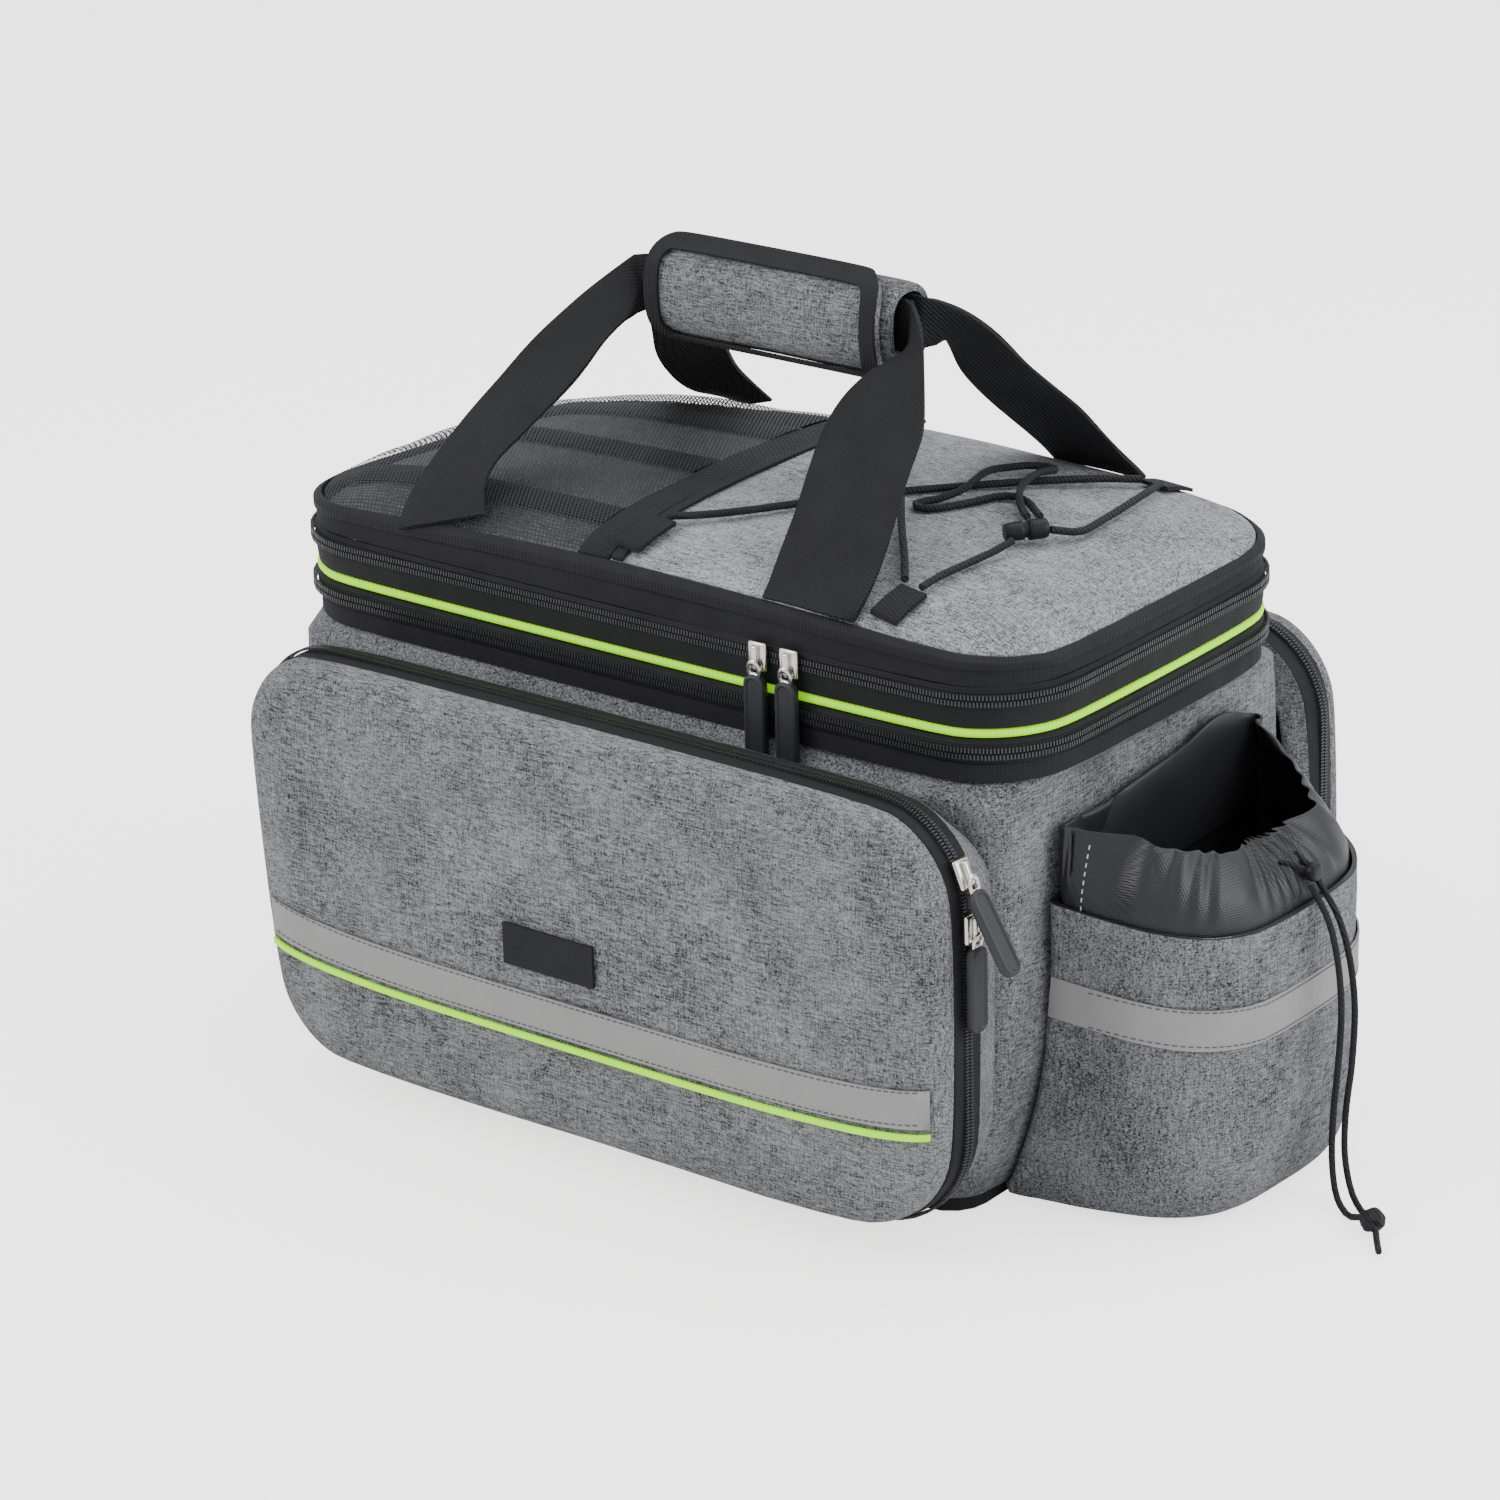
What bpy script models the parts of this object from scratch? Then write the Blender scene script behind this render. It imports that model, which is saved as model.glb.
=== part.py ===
"""Bicycle rack bag: a soft box with a domed lid, two side pockets and a bottle pocket.

The lid is half net and half cloth and closes with a zip; a second zip below a bright piping lets
the bag grow taller. Each side pocket is a stiff bulging shell behind a zip, the bottle pocket has a
gathered collar with a drawstring, and two webbing handles meet in a padded grip.

Metres, +Z up. The origin is the middle of the flat base. X runs along the bag with the bottle
pocket at +X, and the side with the label faces -Y.
"""
import math

import bmesh
import bpy
from mathutils import Vector

for leftover in list(bpy.data.objects):
    bpy.data.objects.remove(leftover, do_unlink=True)

# Cloth and clearances
GAP = 0.0003
CLOTH = 0.002
THIN_CLOTH = 0.0012
WEBBING = 0.0016
EVA_WALL = 0.003

# Main compartment
BODY_LENGTH = 0.350
BODY_WIDTH = 0.200
BODY_CORNER = 0.016
BODY_HEIGHT = 0.173
END_TUCK = 0.020
SIDE_TUCK = 0.006
BASE_BOARD = 0.006
BASE_INSET = 0.0240

# Lid and the zipped band under it
LID_LENGTH = 0.360
LID_SETBACK = 0.005
LID_WIDTH = BODY_WIDTH - LID_SETBACK
LID_CORNER = 0.041
LOWER_BAND_HEIGHT = 0.007
EXPANSION_ZIP_HEIGHT = 0.0094
PIPING_HEIGHT = 0.004
LID_ZIP_HEIGHT = 0.0157
LID_BAND_HEIGHT = 0.0055
BINDING_HEIGHT = 0.004
BINDING_DEPTH = 0.0022
RIM_BOW = 0.0075
LID_CROWN = 0.0185
FAR_DIP = 0.011
CROSS_BAND_FRONT = -0.024
CROSS_BAND_WIDTH = 0.015
CROSS_STRIP_WIDTH = 0.005
CROSS_STRIP_BACK = -0.0025

# Side pockets
POCKET_LENGTH = 0.339
POCKET_REAR = 0.178
POCKET_TOP = 0.183
POCKET_BOTTOM = 0.0135
POCKET_SLANT = 0.013
POCKET_CORNER = 0.038
GUSSET_DEPTH = 0.018
GUSSET_FLARE = 0.006
FAR_GUSSET_SHARE = 0.25
FAR_POCKET_SINK = 0.005
ZIP_TAPE_WIDTH = 0.016
COIL_HEIGHT = 0.001
COIL_WIDTH = 0.0045
LID_COIL_SHARE = 0.72
POCKET_COIL_SHARE = 0.55
SHELL_DEPTH = 0.0135
STRIP_BOTTOM = 0.0585
STRIP_HEIGHT = 0.0155
TRIM_BOTTOM = 0.054
TRIM_HEIGHT = 0.0025
TRIM_RISE = 0.007
TRIM_STEPS = (0.0, 0.225, 0.45, 0.625, 0.80, 0.87, 0.94)
STRIP_REACH = 0.975
STRIP_LIFT = 0.0007
LABEL_LENGTH = 0.044
LABEL_HEIGHT = 0.017
LABEL_CENTRE_X = -0.001
LABEL_CENTRE_Z = 0.0925

# Bottle pocket
BOTTLE_HEIGHT = 0.118
BOTTLE_BOTTOM = 0.001
BOTTLE_REACH = 0.070
BOTTLE_HALF_WIDTH = 0.074
BOTTLE_NOSE = 0.044
BOTTLE_STRIP_BOTTOM = 0.074
BOTTLE_STRIP_HEIGHT = 0.0165
BOTTLE_RISE = 0.010
COLLAR_SEAT = 0.008
COLLAR_RISE = 0.026
COLLAR_PLEATS = 9
COLLAR_PINCH = 0.006
COLLAR_RIPPLE = 0.0016

# Handles
STRAP_WIDTH = 0.042
STRAP_LIFT = 0.0068
STRAP_RISE = 0.0805
STRAP_SPACING = 0.013
GRIP_FRONT = -0.052
GRIP_LENGTH = 0.116
GRIP_DEPTH = 0.028
GRIP_HEIGHT = 0.034
GRIP_CORNER = 0.0125
GRIP_WALL = 0.004
FLAP_THICKNESS = 0.003
FLAP_HALF_WRAP = 0.021
FLAP_INSET = 0.003
FLAP_LIFT = 0.0010
FLAP_CORNER = 0.012
FLAP_BINDING = 0.0065

# Small things
BUNGEE_DIAMETER = 0.003
TAB_WIDTH = 0.013
TAB_LIFT = 0.0020
LOCK_DIAMETER = 0.0085
LOCK_LENGTH = 0.017
DRAWSTRING_DIAMETER = 0.0026
DRAW_LOCK_SIZE = 0.009
KNOT_DIAMETER = 0.0105
SLIDER_LENGTH = 0.012
SLIDER_WIDTH = 0.0085
SLIDER_HEIGHT = 0.0045
SLIDER_TURN = 30
SLIDER_DROP = 0.001
PULL_LENGTH = 0.0345
PULL_WIDTH = 0.0095
PULL_THICKNESS = 0.004
PULL_STANDOFF = 0.002
PULL_CLEARANCE = 0.0006
PULL_LEAN = 38

LID_SLIDERS = {"lid_zip_a": 0.0655, "lid_zip_b": 0.0800}

# Mesh fineness
ARC_STEPS = 4
LONG_STEPS = 5
SHORT_STEPS = 2
CORD_SPACING = 3.2

# Heights of the band's rows, from the body up
BODY_BOTTOM = BASE_BOARD + GAP
BAND_BOTTOM = BODY_BOTTOM + BODY_HEIGHT + GAP
EXPANSION_BOTTOM = BAND_BOTTOM + LOWER_BAND_HEIGHT + GAP
PIPING_BOTTOM = EXPANSION_BOTTOM + EXPANSION_ZIP_HEIGHT + GAP
LID_ZIP_BOTTOM = PIPING_BOTTOM + PIPING_HEIGHT + GAP
LID_BAND_BOTTOM = LID_ZIP_BOTTOM + LID_ZIP_HEIGHT + GAP
BINDING_BOTTOM = LID_BAND_BOTTOM + LID_BAND_HEIGHT + GAP
RIM_TOP = BINDING_BOTTOM + BINDING_HEIGHT
LID_TOP = RIM_TOP + LID_CROWN
STRAP_ROOT = RIM_TOP + STRAP_LIFT
GRIP_CENTRE_Z = STRAP_ROOT + STRAP_RISE

# Where the lid's zip pulls hang, and how far the side pockets' tops draw in behind them
LID_COIL_MIDDLE = LID_ZIP_BOTTOM + LID_ZIP_HEIGHT * LID_COIL_SHARE
LID_COIL_FACE = LID_WIDTH / 2 + COIL_HEIGHT
PULL_BOTTOM = LID_COIL_MIDDLE - SLIDER_LENGTH / 2 - GAP - PULL_LENGTH
PULL_REACH = LID_COIL_FACE + PULL_STANDOFF + PULL_THICKNESS - BODY_WIDTH / 2 - GAP
GUSSET_TOP_FLARE = max(GUSSET_FLARE, (POCKET_TOP + PULL_CLEARANCE - PULL_BOTTOM)
                       / (1 - PULL_REACH / GUSSET_DEPTH))

# The foremost face of the bottle pocket, which the drawstring hangs down
NOSE = BODY_LENGTH / 2 + BOTTLE_REACH

# Sections of the main compartment, from the base up: height and tucks are shares of
# BODY_HEIGHT, END_TUCK and SIDE_TUCK, and lid is how far the outline has turned into the lid's.
BODY_ROWS = [
    dict(height=0.00, end=1.15, side=1.0, lid=0),
    dict(height=0.02, end=1.00, side=0.4, lid=0),
    dict(height=0.10, end=0.70, side=0.0, lid=0),
    dict(height=0.27, end=0.20, side=0.0, lid=0),
    dict(height=0.53, end=0.00, side=0.0, lid=0),
    dict(height=0.85, end=0.10, side=0.0, lid=0),
    dict(height=0.965, end=0.15, side=0.0, lid=0),
    dict(height=1.00, end=0.25, side=0.2, lid=1),
]

# Bulge of a side pocket's shell: scale is the share of its outline, depth of SHELL_DEPTH
SHELL_ROWS = [
    dict(scale=1.00, depth=0.00),
    dict(scale=1.00, depth=0.30),
    dict(scale=0.985, depth=0.62),
    dict(scale=0.94, depth=0.84),
    dict(scale=0.80, depth=0.95),
    dict(scale=0.45, depth=1.00),
]

# Sections of the bottle pocket: shares of BOTTLE_HEIGHT, BOTTLE_REACH and BOTTLE_HALF_WIDTH
BOTTLE_ROWS = [
    dict(height=0.00, reach=0.80, width=0.90),
    dict(height=0.02, reach=0.87, width=0.95),
    dict(height=0.08, reach=0.93, width=0.98),
    dict(height=0.22, reach=0.98, width=1.00),
    dict(height=1.00, reach=1.00, width=0.98),
]

# Rim of the collar, round it from the near corner at the body: shares of COLLAR_RISE
COLLAR_RIM = [
    dict(around=0.00, rise=1.15),
    dict(around=0.12, rise=1.05),
    dict(around=0.24, rise=1.00),
    dict(around=0.36, rise=0.96),
    dict(around=0.46, rise=0.92),
    dict(around=0.56, rise=1.00),
    dict(around=0.64, rise=1.25),
    dict(around=0.70, rise=1.55),
    dict(around=0.78, rise=1.30),
    dict(around=0.90, rise=1.15),
    dict(around=1.00, rise=1.15),
]

# Centre line of a handle strap on the +Y side, over one lid edge, through the grip and back:
# along, apart and rise are shares of LID_LENGTH, of half LID_WIDTH and of STRAP_RISE above
# STRAP_ROOT. flat, out and drop turn its width along X, outwards and down, and width is a
# share of STRAP_WIDTH.
STRAP_ROWS = [
    dict(along=-0.253, apart=0.985, rise=0.000, flat=1.0, out=0.0, drop=0.00, width=0.92),
    dict(along=-0.268, apart=0.870, rise=0.135, flat=1.0, out=0.0, drop=-0.15, width=0.84),
    dict(along=-0.266, apart=0.728, rise=0.265, flat=1.0, out=0.0, drop=-0.25, width=0.80),
    dict(along=-0.243, apart=0.569, rise=0.455, flat=1.0, out=0.0, drop=-0.12, width=0.78),
    dict(along=-0.216, apart=0.379, rise=0.680, flat=1.0, out=0.0, drop=0.03, width=0.73),
    dict(along=-0.200, apart=0.272, rise=0.815, flat=1.0, out=0.13, drop=0.13, width=0.60),
    dict(along=-0.179, apart=0.160, rise=0.935, flat=0.8, out=0.80, drop=0.90, width=0.53),
    dict(along=-0.158, apart=0.040, rise=1.000, flat=0.0, out=0.0, drop=1.00, width=0.51),
    dict(along=-0.130, apart=0.025, rise=1.005, flat=0.0, out=0.0, drop=1.00, width=0.53),
    dict(along=0.017, apart=0.025, rise=1.010, flat=0.0, out=0.0, drop=1.00, width=0.53),
    dict(along=0.160, apart=0.025, rise=1.005, flat=0.0, out=0.0, drop=1.00, width=0.53),
    dict(along=0.188, apart=0.042, rise=1.000, flat=0.0, out=0.0, drop=1.00, width=0.50),
    dict(along=0.209, apart=0.180, rise=0.945, flat=-0.4, out=0.90, drop=1.00, width=0.46),
    dict(along=0.211, apart=0.310, rise=0.815, flat=-1.0, out=0.34, drop=0.31, width=0.74),
    dict(along=0.214, apart=0.400, rise=0.678, flat=-1.0, out=0.04, drop=0.04, width=1.02),
    dict(along=0.222, apart=0.595, rise=0.455, flat=-1.0, out=0.0, drop=0.08, width=1.05),
    dict(along=0.237, apart=0.841, rise=0.158, flat=-1.0, out=0.0, drop=-0.05, width=1.05),
    dict(along=0.238, apart=0.985, rise=0.000, flat=-1.0, out=0.0, drop=0.00, width=1.00),
]

# Webbing tabs that hold the elastic cord, root at the lid's edge and tip towards the middle:
# shares of LID_LENGTH and of half LID_WIDTH, and lift a share of TAB_LIFT.
TAB_ROWS = [
    dict(name="near_front", root=(-0.008, -0.938), tip=(0.000, -0.738), lift=1.00),
    dict(name="near_rear", root=(0.325, -0.938), tip=(0.331, -0.769), lift=0.22),
    dict(name="far_rear", root=(0.353, 0.913), tip=(0.353, 0.728), lift=0.22),
    dict(name="far_front", root=(-0.008, 0.938), tip=(0.000, 0.738), lift=1.00),
]

# Chosen routes of the cords. On the lid: x, y and the height under the cord above the lid.
LID_CORDS = {
    "bungee_diagonal": [
        (0.0005, -0.0705, 0.0020), (0.012, -0.062, 0.0012), (0.023, -0.050, 0.0006),
        (0.040, -0.027, 0.0004), (0.061, 0.000, 0.0004), (0.080, 0.021, 0.0004),
        (0.098, 0.041, 0.0004), (0.112, 0.057, 0.0006), (0.1225, 0.0695, 0.0010)],
    "bungee_counter": [
        (0.1130, -0.0722, 0.0012), (0.101, -0.056, 0.0006), (0.086, -0.037, 0.0010),
        (0.074, -0.021, 0.0024), (0.060, -0.002, 0.0040), (0.046, 0.016, 0.0022),
        (0.030, 0.035, 0.0006), (0.014, 0.054, 0.0010), (0.0015, 0.0705, 0.0020)],
    "bungee_rear_near": [
        (0.1215, -0.0735, 0.0008), (0.122, -0.062, 0.0000), (0.124, -0.046, -0.0004),
        (0.127, -0.034, 0.0010), (0.1285, -0.0255, 0.0026)],
    "bungee_rear_far": [
        (0.1334, -0.0075, 0.0030), (0.1395, 0.003, 0.0010), (0.1385, 0.020, 0.0004),
        (0.1365, 0.040, 0.0004), (0.1340, 0.056, 0.0006), (0.1310, 0.0695, 0.0010)],
    "bungee_slack": [
        (0.1195, -0.0030, 0.0030), (0.1120, 0.0045, 0.0022), (0.1040, 0.014, 0.0036),
        (0.0985, 0.026, 0.0040), (0.0975, 0.038, 0.0046), (0.0975, 0.047, 0.0030),
        (0.0920, 0.053, 0.0016), (0.0840, 0.051, 0.0014), (0.0795, 0.042, 0.0018),
        (0.0790, 0.031, 0.0036), (0.0810, 0.020, 0.0044), (0.0815, 0.009, 0.0024),
        (0.0770, -0.001, 0.0006), (0.0730, -0.008, 0.0006), (0.0750, -0.0135, 0.0006),
        (0.0810, -0.012, 0.0006), (0.0865, -0.004, 0.0006), (0.0905, 0.006, 0.0004),
        (0.0935, 0.014, 0.0004), (0.0995, 0.0185, 0.0004), (0.1065, 0.016, 0.0004),
        (0.1145, 0.0085, 0.0018), (0.1230, 0.0005, 0.0030)],
}

# The drawstring hangs from its toggle to the surface the bag stands on and lies there: x from
# NOSE, y, z
TOGGLE = (-0.0040, 0.0035, 0.1310)
DRAWSTRINGS = {
    "drawstring_near": [
        (-0.0010, 0.0010, 0.1268), (0.0070, 0.0010, 0.1140), (0.0110, 0.0015, 0.0980),
        (0.0125, 0.0020, 0.0780), (0.0115, 0.0020, 0.0560), (0.0100, 0.0015, 0.0360),
        (0.0105, 0.0000, 0.0180), (0.0140, -0.0030, 0.0060), (0.0200, -0.0075, 0.0020),
        (0.0265, -0.0112, 0.0018), (0.0334, -0.0130, 0.0050)],
    "drawstring_far": [
        (-0.0010, 0.0060, 0.1268), (0.0075, 0.0065, 0.1145), (0.0125, 0.0070, 0.0990),
        (0.0150, 0.0075, 0.0790), (0.0145, 0.0070, 0.0560), (0.0125, 0.0065, 0.0360),
        (0.0130, 0.0050, 0.0190), (0.0175, 0.0020, 0.0065), (0.0240, -0.0025, 0.0020),
        (0.0295, -0.0062, 0.0018), (0.0355, -0.0109, 0.0050)],
}
KNOT = (0.0380, -0.0155, 0.0056)
TAIL = [(0.0415, -0.0190, 0.0048), (0.0450, -0.0235, 0.0022), (0.0495, -0.0295, 0.0016)]


def material(name, colour, roughness, metallic=0.0):
    """A plain Principled material."""
    made = bpy.data.materials.new(name)
    made.use_nodes = True
    shader = made.node_tree.nodes["Principled BSDF"]
    shader.inputs["Base Color"].default_value = (*colour, 1.0)
    shader.inputs["Roughness"].default_value = roughness
    shader.inputs["Metallic"].default_value = metallic
    return made


GRAY_CLOTH = material("gray_cloth", (0.30, 0.31, 0.33), 0.9)
BLACK_CLOTH = material("black_cloth", (0.020, 0.020, 0.022), 0.8)
BLACK_WEBBING = material("black_webbing", (0.026, 0.026, 0.028), 0.75)
BLACK_NYLON = material("black_nylon", (0.018, 0.018, 0.020), 0.45)
NET = material("net", (0.05, 0.05, 0.055), 0.8)
LIME = material("lime_piping", (0.50, 0.95, 0.06), 0.5)
REFLECTIVE = material("reflective_tape", (0.50, 0.50, 0.50), 0.35)
METAL = material("slider_metal", (0.80, 0.76, 0.70), 0.22, 1.0)
RUBBER = material("puller_rubber", (0.045, 0.047, 0.052), 0.55)
PLASTIC = material("lock_plastic", (0.015, 0.015, 0.016), 0.4)


def settled(point):
    """A point after the soft box has sunk a little towards its far front top corner."""
    x, y, z = point[:3]
    forward = min(1.0, max(0.0, -2 * x / LID_LENGTH))
    across = min(1.0, max(0.0, 0.3 + 1.4 * y / LID_WIDTH))
    below = min(1.0, max(0.0, (z - BODY_HEIGHT / 2) / (BODY_HEIGHT / 2)))
    above = min(1.0, max(0.0, (STRAP_ROOT + STRAP_RISE - z) / STRAP_RISE))
    on_body = max(0.0, min(1.0, (BODY_WIDTH / 2 + GAP / 2 - abs(y)) / GAP))
    return Vector((x, y, z - FAR_DIP * forward * across * below * above * on_body))


def finish(name, mesh, look):
    """Turn a closed bmesh into a named object with its faces pointing out."""
    for vertex in mesh.verts:
        vertex.co = settled(vertex.co)
    bmesh.ops.recalc_face_normals(mesh, faces=mesh.faces)
    data = bpy.data.meshes.new(name)
    mesh.to_mesh(data)
    mesh.free()
    data.materials.append(look)
    data.shade_smooth()
    data.set_sharp_from_angle(angle=math.radians(40))
    made = bpy.data.objects.new(name, data)
    bpy.context.scene.collection.objects.link(made)
    return made


def skin(name, rings, look, closed=False):
    """One closed body through equal rings of points, its ends capped, or joined if closed."""
    mesh = bmesh.new()
    rows = [[mesh.verts.new(point) for point in ring] for ring in rings]
    pairs = list(zip(rows, rows[1:]))
    if closed:
        pairs.append((rows[-1], rows[0]))
    for lower, upper in pairs:
        for index, corner in enumerate(lower):
            following = (index + 1) % len(lower)
            mesh.faces.new((corner, lower[following], upper[following], upper[index]))
    if not closed:
        mesh.faces.new(list(reversed(rows[0])))
        mesh.faces.new(rows[-1])
    return finish(name, mesh, look)


def sheet(name, upper, lower, look):
    """A thin closed body between two grids of points, with walls round its edge."""
    mesh = bmesh.new()
    top = [[mesh.verts.new(point) for point in row] for row in upper]
    bottom = [[mesh.verts.new(point) for point in row] for row in lower]
    for row in range(len(top) - 1):
        for column in range(len(top[0]) - 1):
            for grid, step in ((top, 1), (bottom, -1)):
                face = (grid[row][column], grid[row][column + 1],
                        grid[row + 1][column + 1], grid[row + 1][column])
                mesh.faces.new(face[::step])
    last_row, last_column = len(top) - 1, len(top[0]) - 1
    edge = [(0, column) for column in range(last_column)]
    edge += [(row, last_column) for row in range(last_row)]
    edge += [(last_row, column) for column in range(last_column, 0, -1)]
    edge += [(row, 0) for row in range(last_row, 0, -1)]
    for here, there in zip(edge, edge[1:] + edge[:1]):
        mesh.faces.new((top[here[0]][here[1]], top[there[0]][there[1]],
                        bottom[there[0]][there[1]], bottom[here[0]][here[1]]))
    return finish(name, mesh, look)


def rounded_outline(corners):
    """Points and outward normals round a polygon, counter-clockwise, each corner an arc.

    A corner is (x, y, radius, steps), with steps along the straight run that follows it.
    """
    arcs = []
    for index, (x, y, radius, _) in enumerate(corners):
        here = Vector((x, y))
        arriving = (here - Vector(corners[index - 1][:2])).normalized()
        leaving = (Vector(corners[(index + 1) % len(corners)][:2]) - here).normalized()
        turn = math.atan2(arriving.cross(leaving), arriving.dot(leaving))
        outward = Vector((arriving.y, -arriving.x))
        centre = here - arriving * radius * math.tan(turn / 2) - outward * radius
        start = math.atan2(outward.y, outward.x)
        arc = []
        for step in range(ARC_STEPS + 1):
            angle = start + turn * step / ARC_STEPS
            normal = Vector((math.cos(angle), math.sin(angle)))
            arc.append((centre + normal * radius, normal))
        arcs.append(arc)
    outline = []
    for index, arc in enumerate(arcs):
        outline += arc
        end, normal = arc[-1]
        following = arcs[(index + 1) % len(arcs)][0][0]
        steps = corners[index][3]
        outline += [(end.lerp(following, step / steps), normal) for step in range(1, steps)]
    return outline


def box_outline(half_x, half_y, radius):
    """Outline of a rectangle with round corners about the origin."""
    return rounded_outline([
        (-half_x, -half_y, radius, LONG_STEPS), (half_x, -half_y, radius, SHORT_STEPS),
        (half_x, half_y, radius, LONG_STEPS), (-half_x, half_y, radius, SHORT_STEPS)])


def read_table(rows, key, value, column):
    """Straight-line reading of one column of a table at a value of its key column."""
    if value <= rows[0][key]:
        return rows[0][column]
    for low, high in zip(rows, rows[1:]):
        if value <= high[key]:
            share = (value - low[key]) / (high[key] - low[key])
            return low[column] + share * (high[column] - low[column])
    return rows[-1][column]


def smooth_route(points, spacing):
    """Points at about an equal spacing along a smooth curve through the given points."""
    anchors = [Vector(point) for point in points]
    ends = [anchors[0] * 2 - anchors[1]] + anchors + [anchors[-1] * 2 - anchors[-2]]
    fine = []
    for before, start, stop, after in zip(ends, ends[1:], ends[2:], ends[3:]):
        for step in range(12):
            t = step / 12
            fine.append(0.5 * (2 * start + (stop - before) * t
                               + (2 * before - 5 * start + 4 * stop - after) * t ** 2
                               + (3 * start - before - 3 * stop + after) * t ** 3))
    fine.append(anchors[-1])
    length = sum((b - a).length for a, b in zip(fine, fine[1:]))
    count = max(2, round(length / spacing))
    route, walked, index = [fine[0]], 0.0, 0
    for number in range(1, count):
        target = length * number / count
        while walked + (fine[index + 1] - fine[index]).length < target:
            walked += (fine[index + 1] - fine[index]).length
            index += 1
        piece = (fine[index + 1] - fine[index]).length
        route.append(fine[index].lerp(fine[index + 1], (target - walked) / piece))
    return route + [fine[-1]]


def tube(name, route, diameter, look):
    """A round cord along a route, as a bevelled poly curve with filled caps."""
    data = bpy.data.curves.new(name, "CURVE")
    data.dimensions = "3D"
    spline = data.splines.new("POLY")
    spline.points.add(len(route) - 1)
    for point, place in zip(spline.points, route):
        point.co = (*settled(place), 1.0)
    data.bevel_depth = diameter / 2
    data.bevel_resolution = 1
    data.use_fill_caps = True
    data.materials.append(look)
    made = bpy.data.objects.new(name, data)
    bpy.context.scene.collection.objects.link(made)
    return made


def turned(name, origin, axis, profile, look, sides=10):
    """A solid of revolution: profile rows are (distance along the axis, radius)."""
    axis = axis.normalized()
    across = axis.orthogonal().normalized()
    other = axis.cross(across)
    rings = []
    for along, radius in profile:
        angles = [math.tau * side / sides for side in range(sides)]
        rings.append([origin + axis * along
                      + radius * (math.cos(a) * across + math.sin(a) * other) for a in angles])
    return skin(name, rings, look)


# Main compartment

def body_section(row, inset=0.0):
    """Outline of the main compartment at one row of its table."""
    half_x = BODY_LENGTH / 2 - END_TUCK * row["end"]
    half_y = BODY_WIDTH / 2 - SIDE_TUCK * row["side"]
    radius = BODY_CORNER
    if row["lid"]:
        half_x, half_y, radius = LID_LENGTH / 2 - CLOTH, LID_WIDTH / 2 - CLOTH, LID_CORNER
    return box_outline(half_x - inset, half_y - inset, radius - inset)


def body_end_x(height):
    """Where the end face of the main compartment stands at a height above the floor."""
    share = (height - BODY_BOTTOM) / BODY_HEIGHT
    return BODY_LENGTH / 2 - END_TUCK * read_table(BODY_ROWS, "height", share, "end")


def body_shell():
    """The gray cloth tub, open at the top where the zipped band begins."""
    outer, inner = [], []
    for row in BODY_ROWS:
        z = BODY_BOTTOM + BODY_HEIGHT * row["height"]
        outer.append([(p.x, p.y, z) for p, _ in body_section(row)])
        inside = max(z, BODY_BOTTOM + CLOTH)
        if row["height"] != BODY_ROWS[1]["height"]:
            inner.append([(p.x, p.y, inside) for p, _ in body_section(row, CLOTH)])
    return skin("body_shell", outer + inner[::-1], GRAY_CLOTH)


def base_panel():
    """The black board under the bag, with a flat underside that it rests on."""
    half_x = BODY_LENGTH / 2 - BASE_INSET
    half_y = BODY_WIDTH / 2 - SIDE_TUCK
    rings = []
    for z, inset in ((0, 0.0015), (0.0015, 0), (BASE_BOARD, 0)):
        outline = box_outline(half_x - inset, half_y - inset, BODY_CORNER)
        rings.append([(p.x, p.y, z) for p, _ in outline])
    return skin("base_panel", rings, BLACK_CLOTH)


# The zipped band and the lid

def bowed(x, z):
    """Height after the lid's rise: its long sides bow up between the corners."""
    share = (z - LID_BAND_BOTTOM) / (RIM_TOP - LID_BAND_BOTTOM)
    return z + RIM_BOW * min(1.0, max(0.0, share)) * (1 - (2 * x / LID_LENGTH) ** 2)


def belt(name, section, look):
    """A ring of one section round the lid: section rows are (outward, height)."""
    rings = []
    for point, normal in box_outline(LID_LENGTH / 2, LID_WIDTH / 2, LID_CORNER):
        ring = []
        for outward, z in section:
            place = point + normal * outward
            ring.append((place.x, place.y, bowed(point.x, z)))
        rings.append(ring)
    return skin(name, rings, look, closed=True)


def zip_section(bottom, height, share):
    """Tape with a raised coil along it, at a share of its height."""
    middle = bottom + height * share
    half = COIL_WIDTH / 2
    return [(-CLOTH, bottom), (0, bottom), (COIL_HEIGHT, middle - half),
            (COIL_HEIGHT, middle + half), (0, bottom + height), (-CLOTH, bottom + height)]


def plain_section(bottom, height):
    """A flat strip of cloth."""
    return [(-CLOTH, bottom), (0, bottom), (0, bottom + height), (-CLOTH, bottom + height)]


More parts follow.
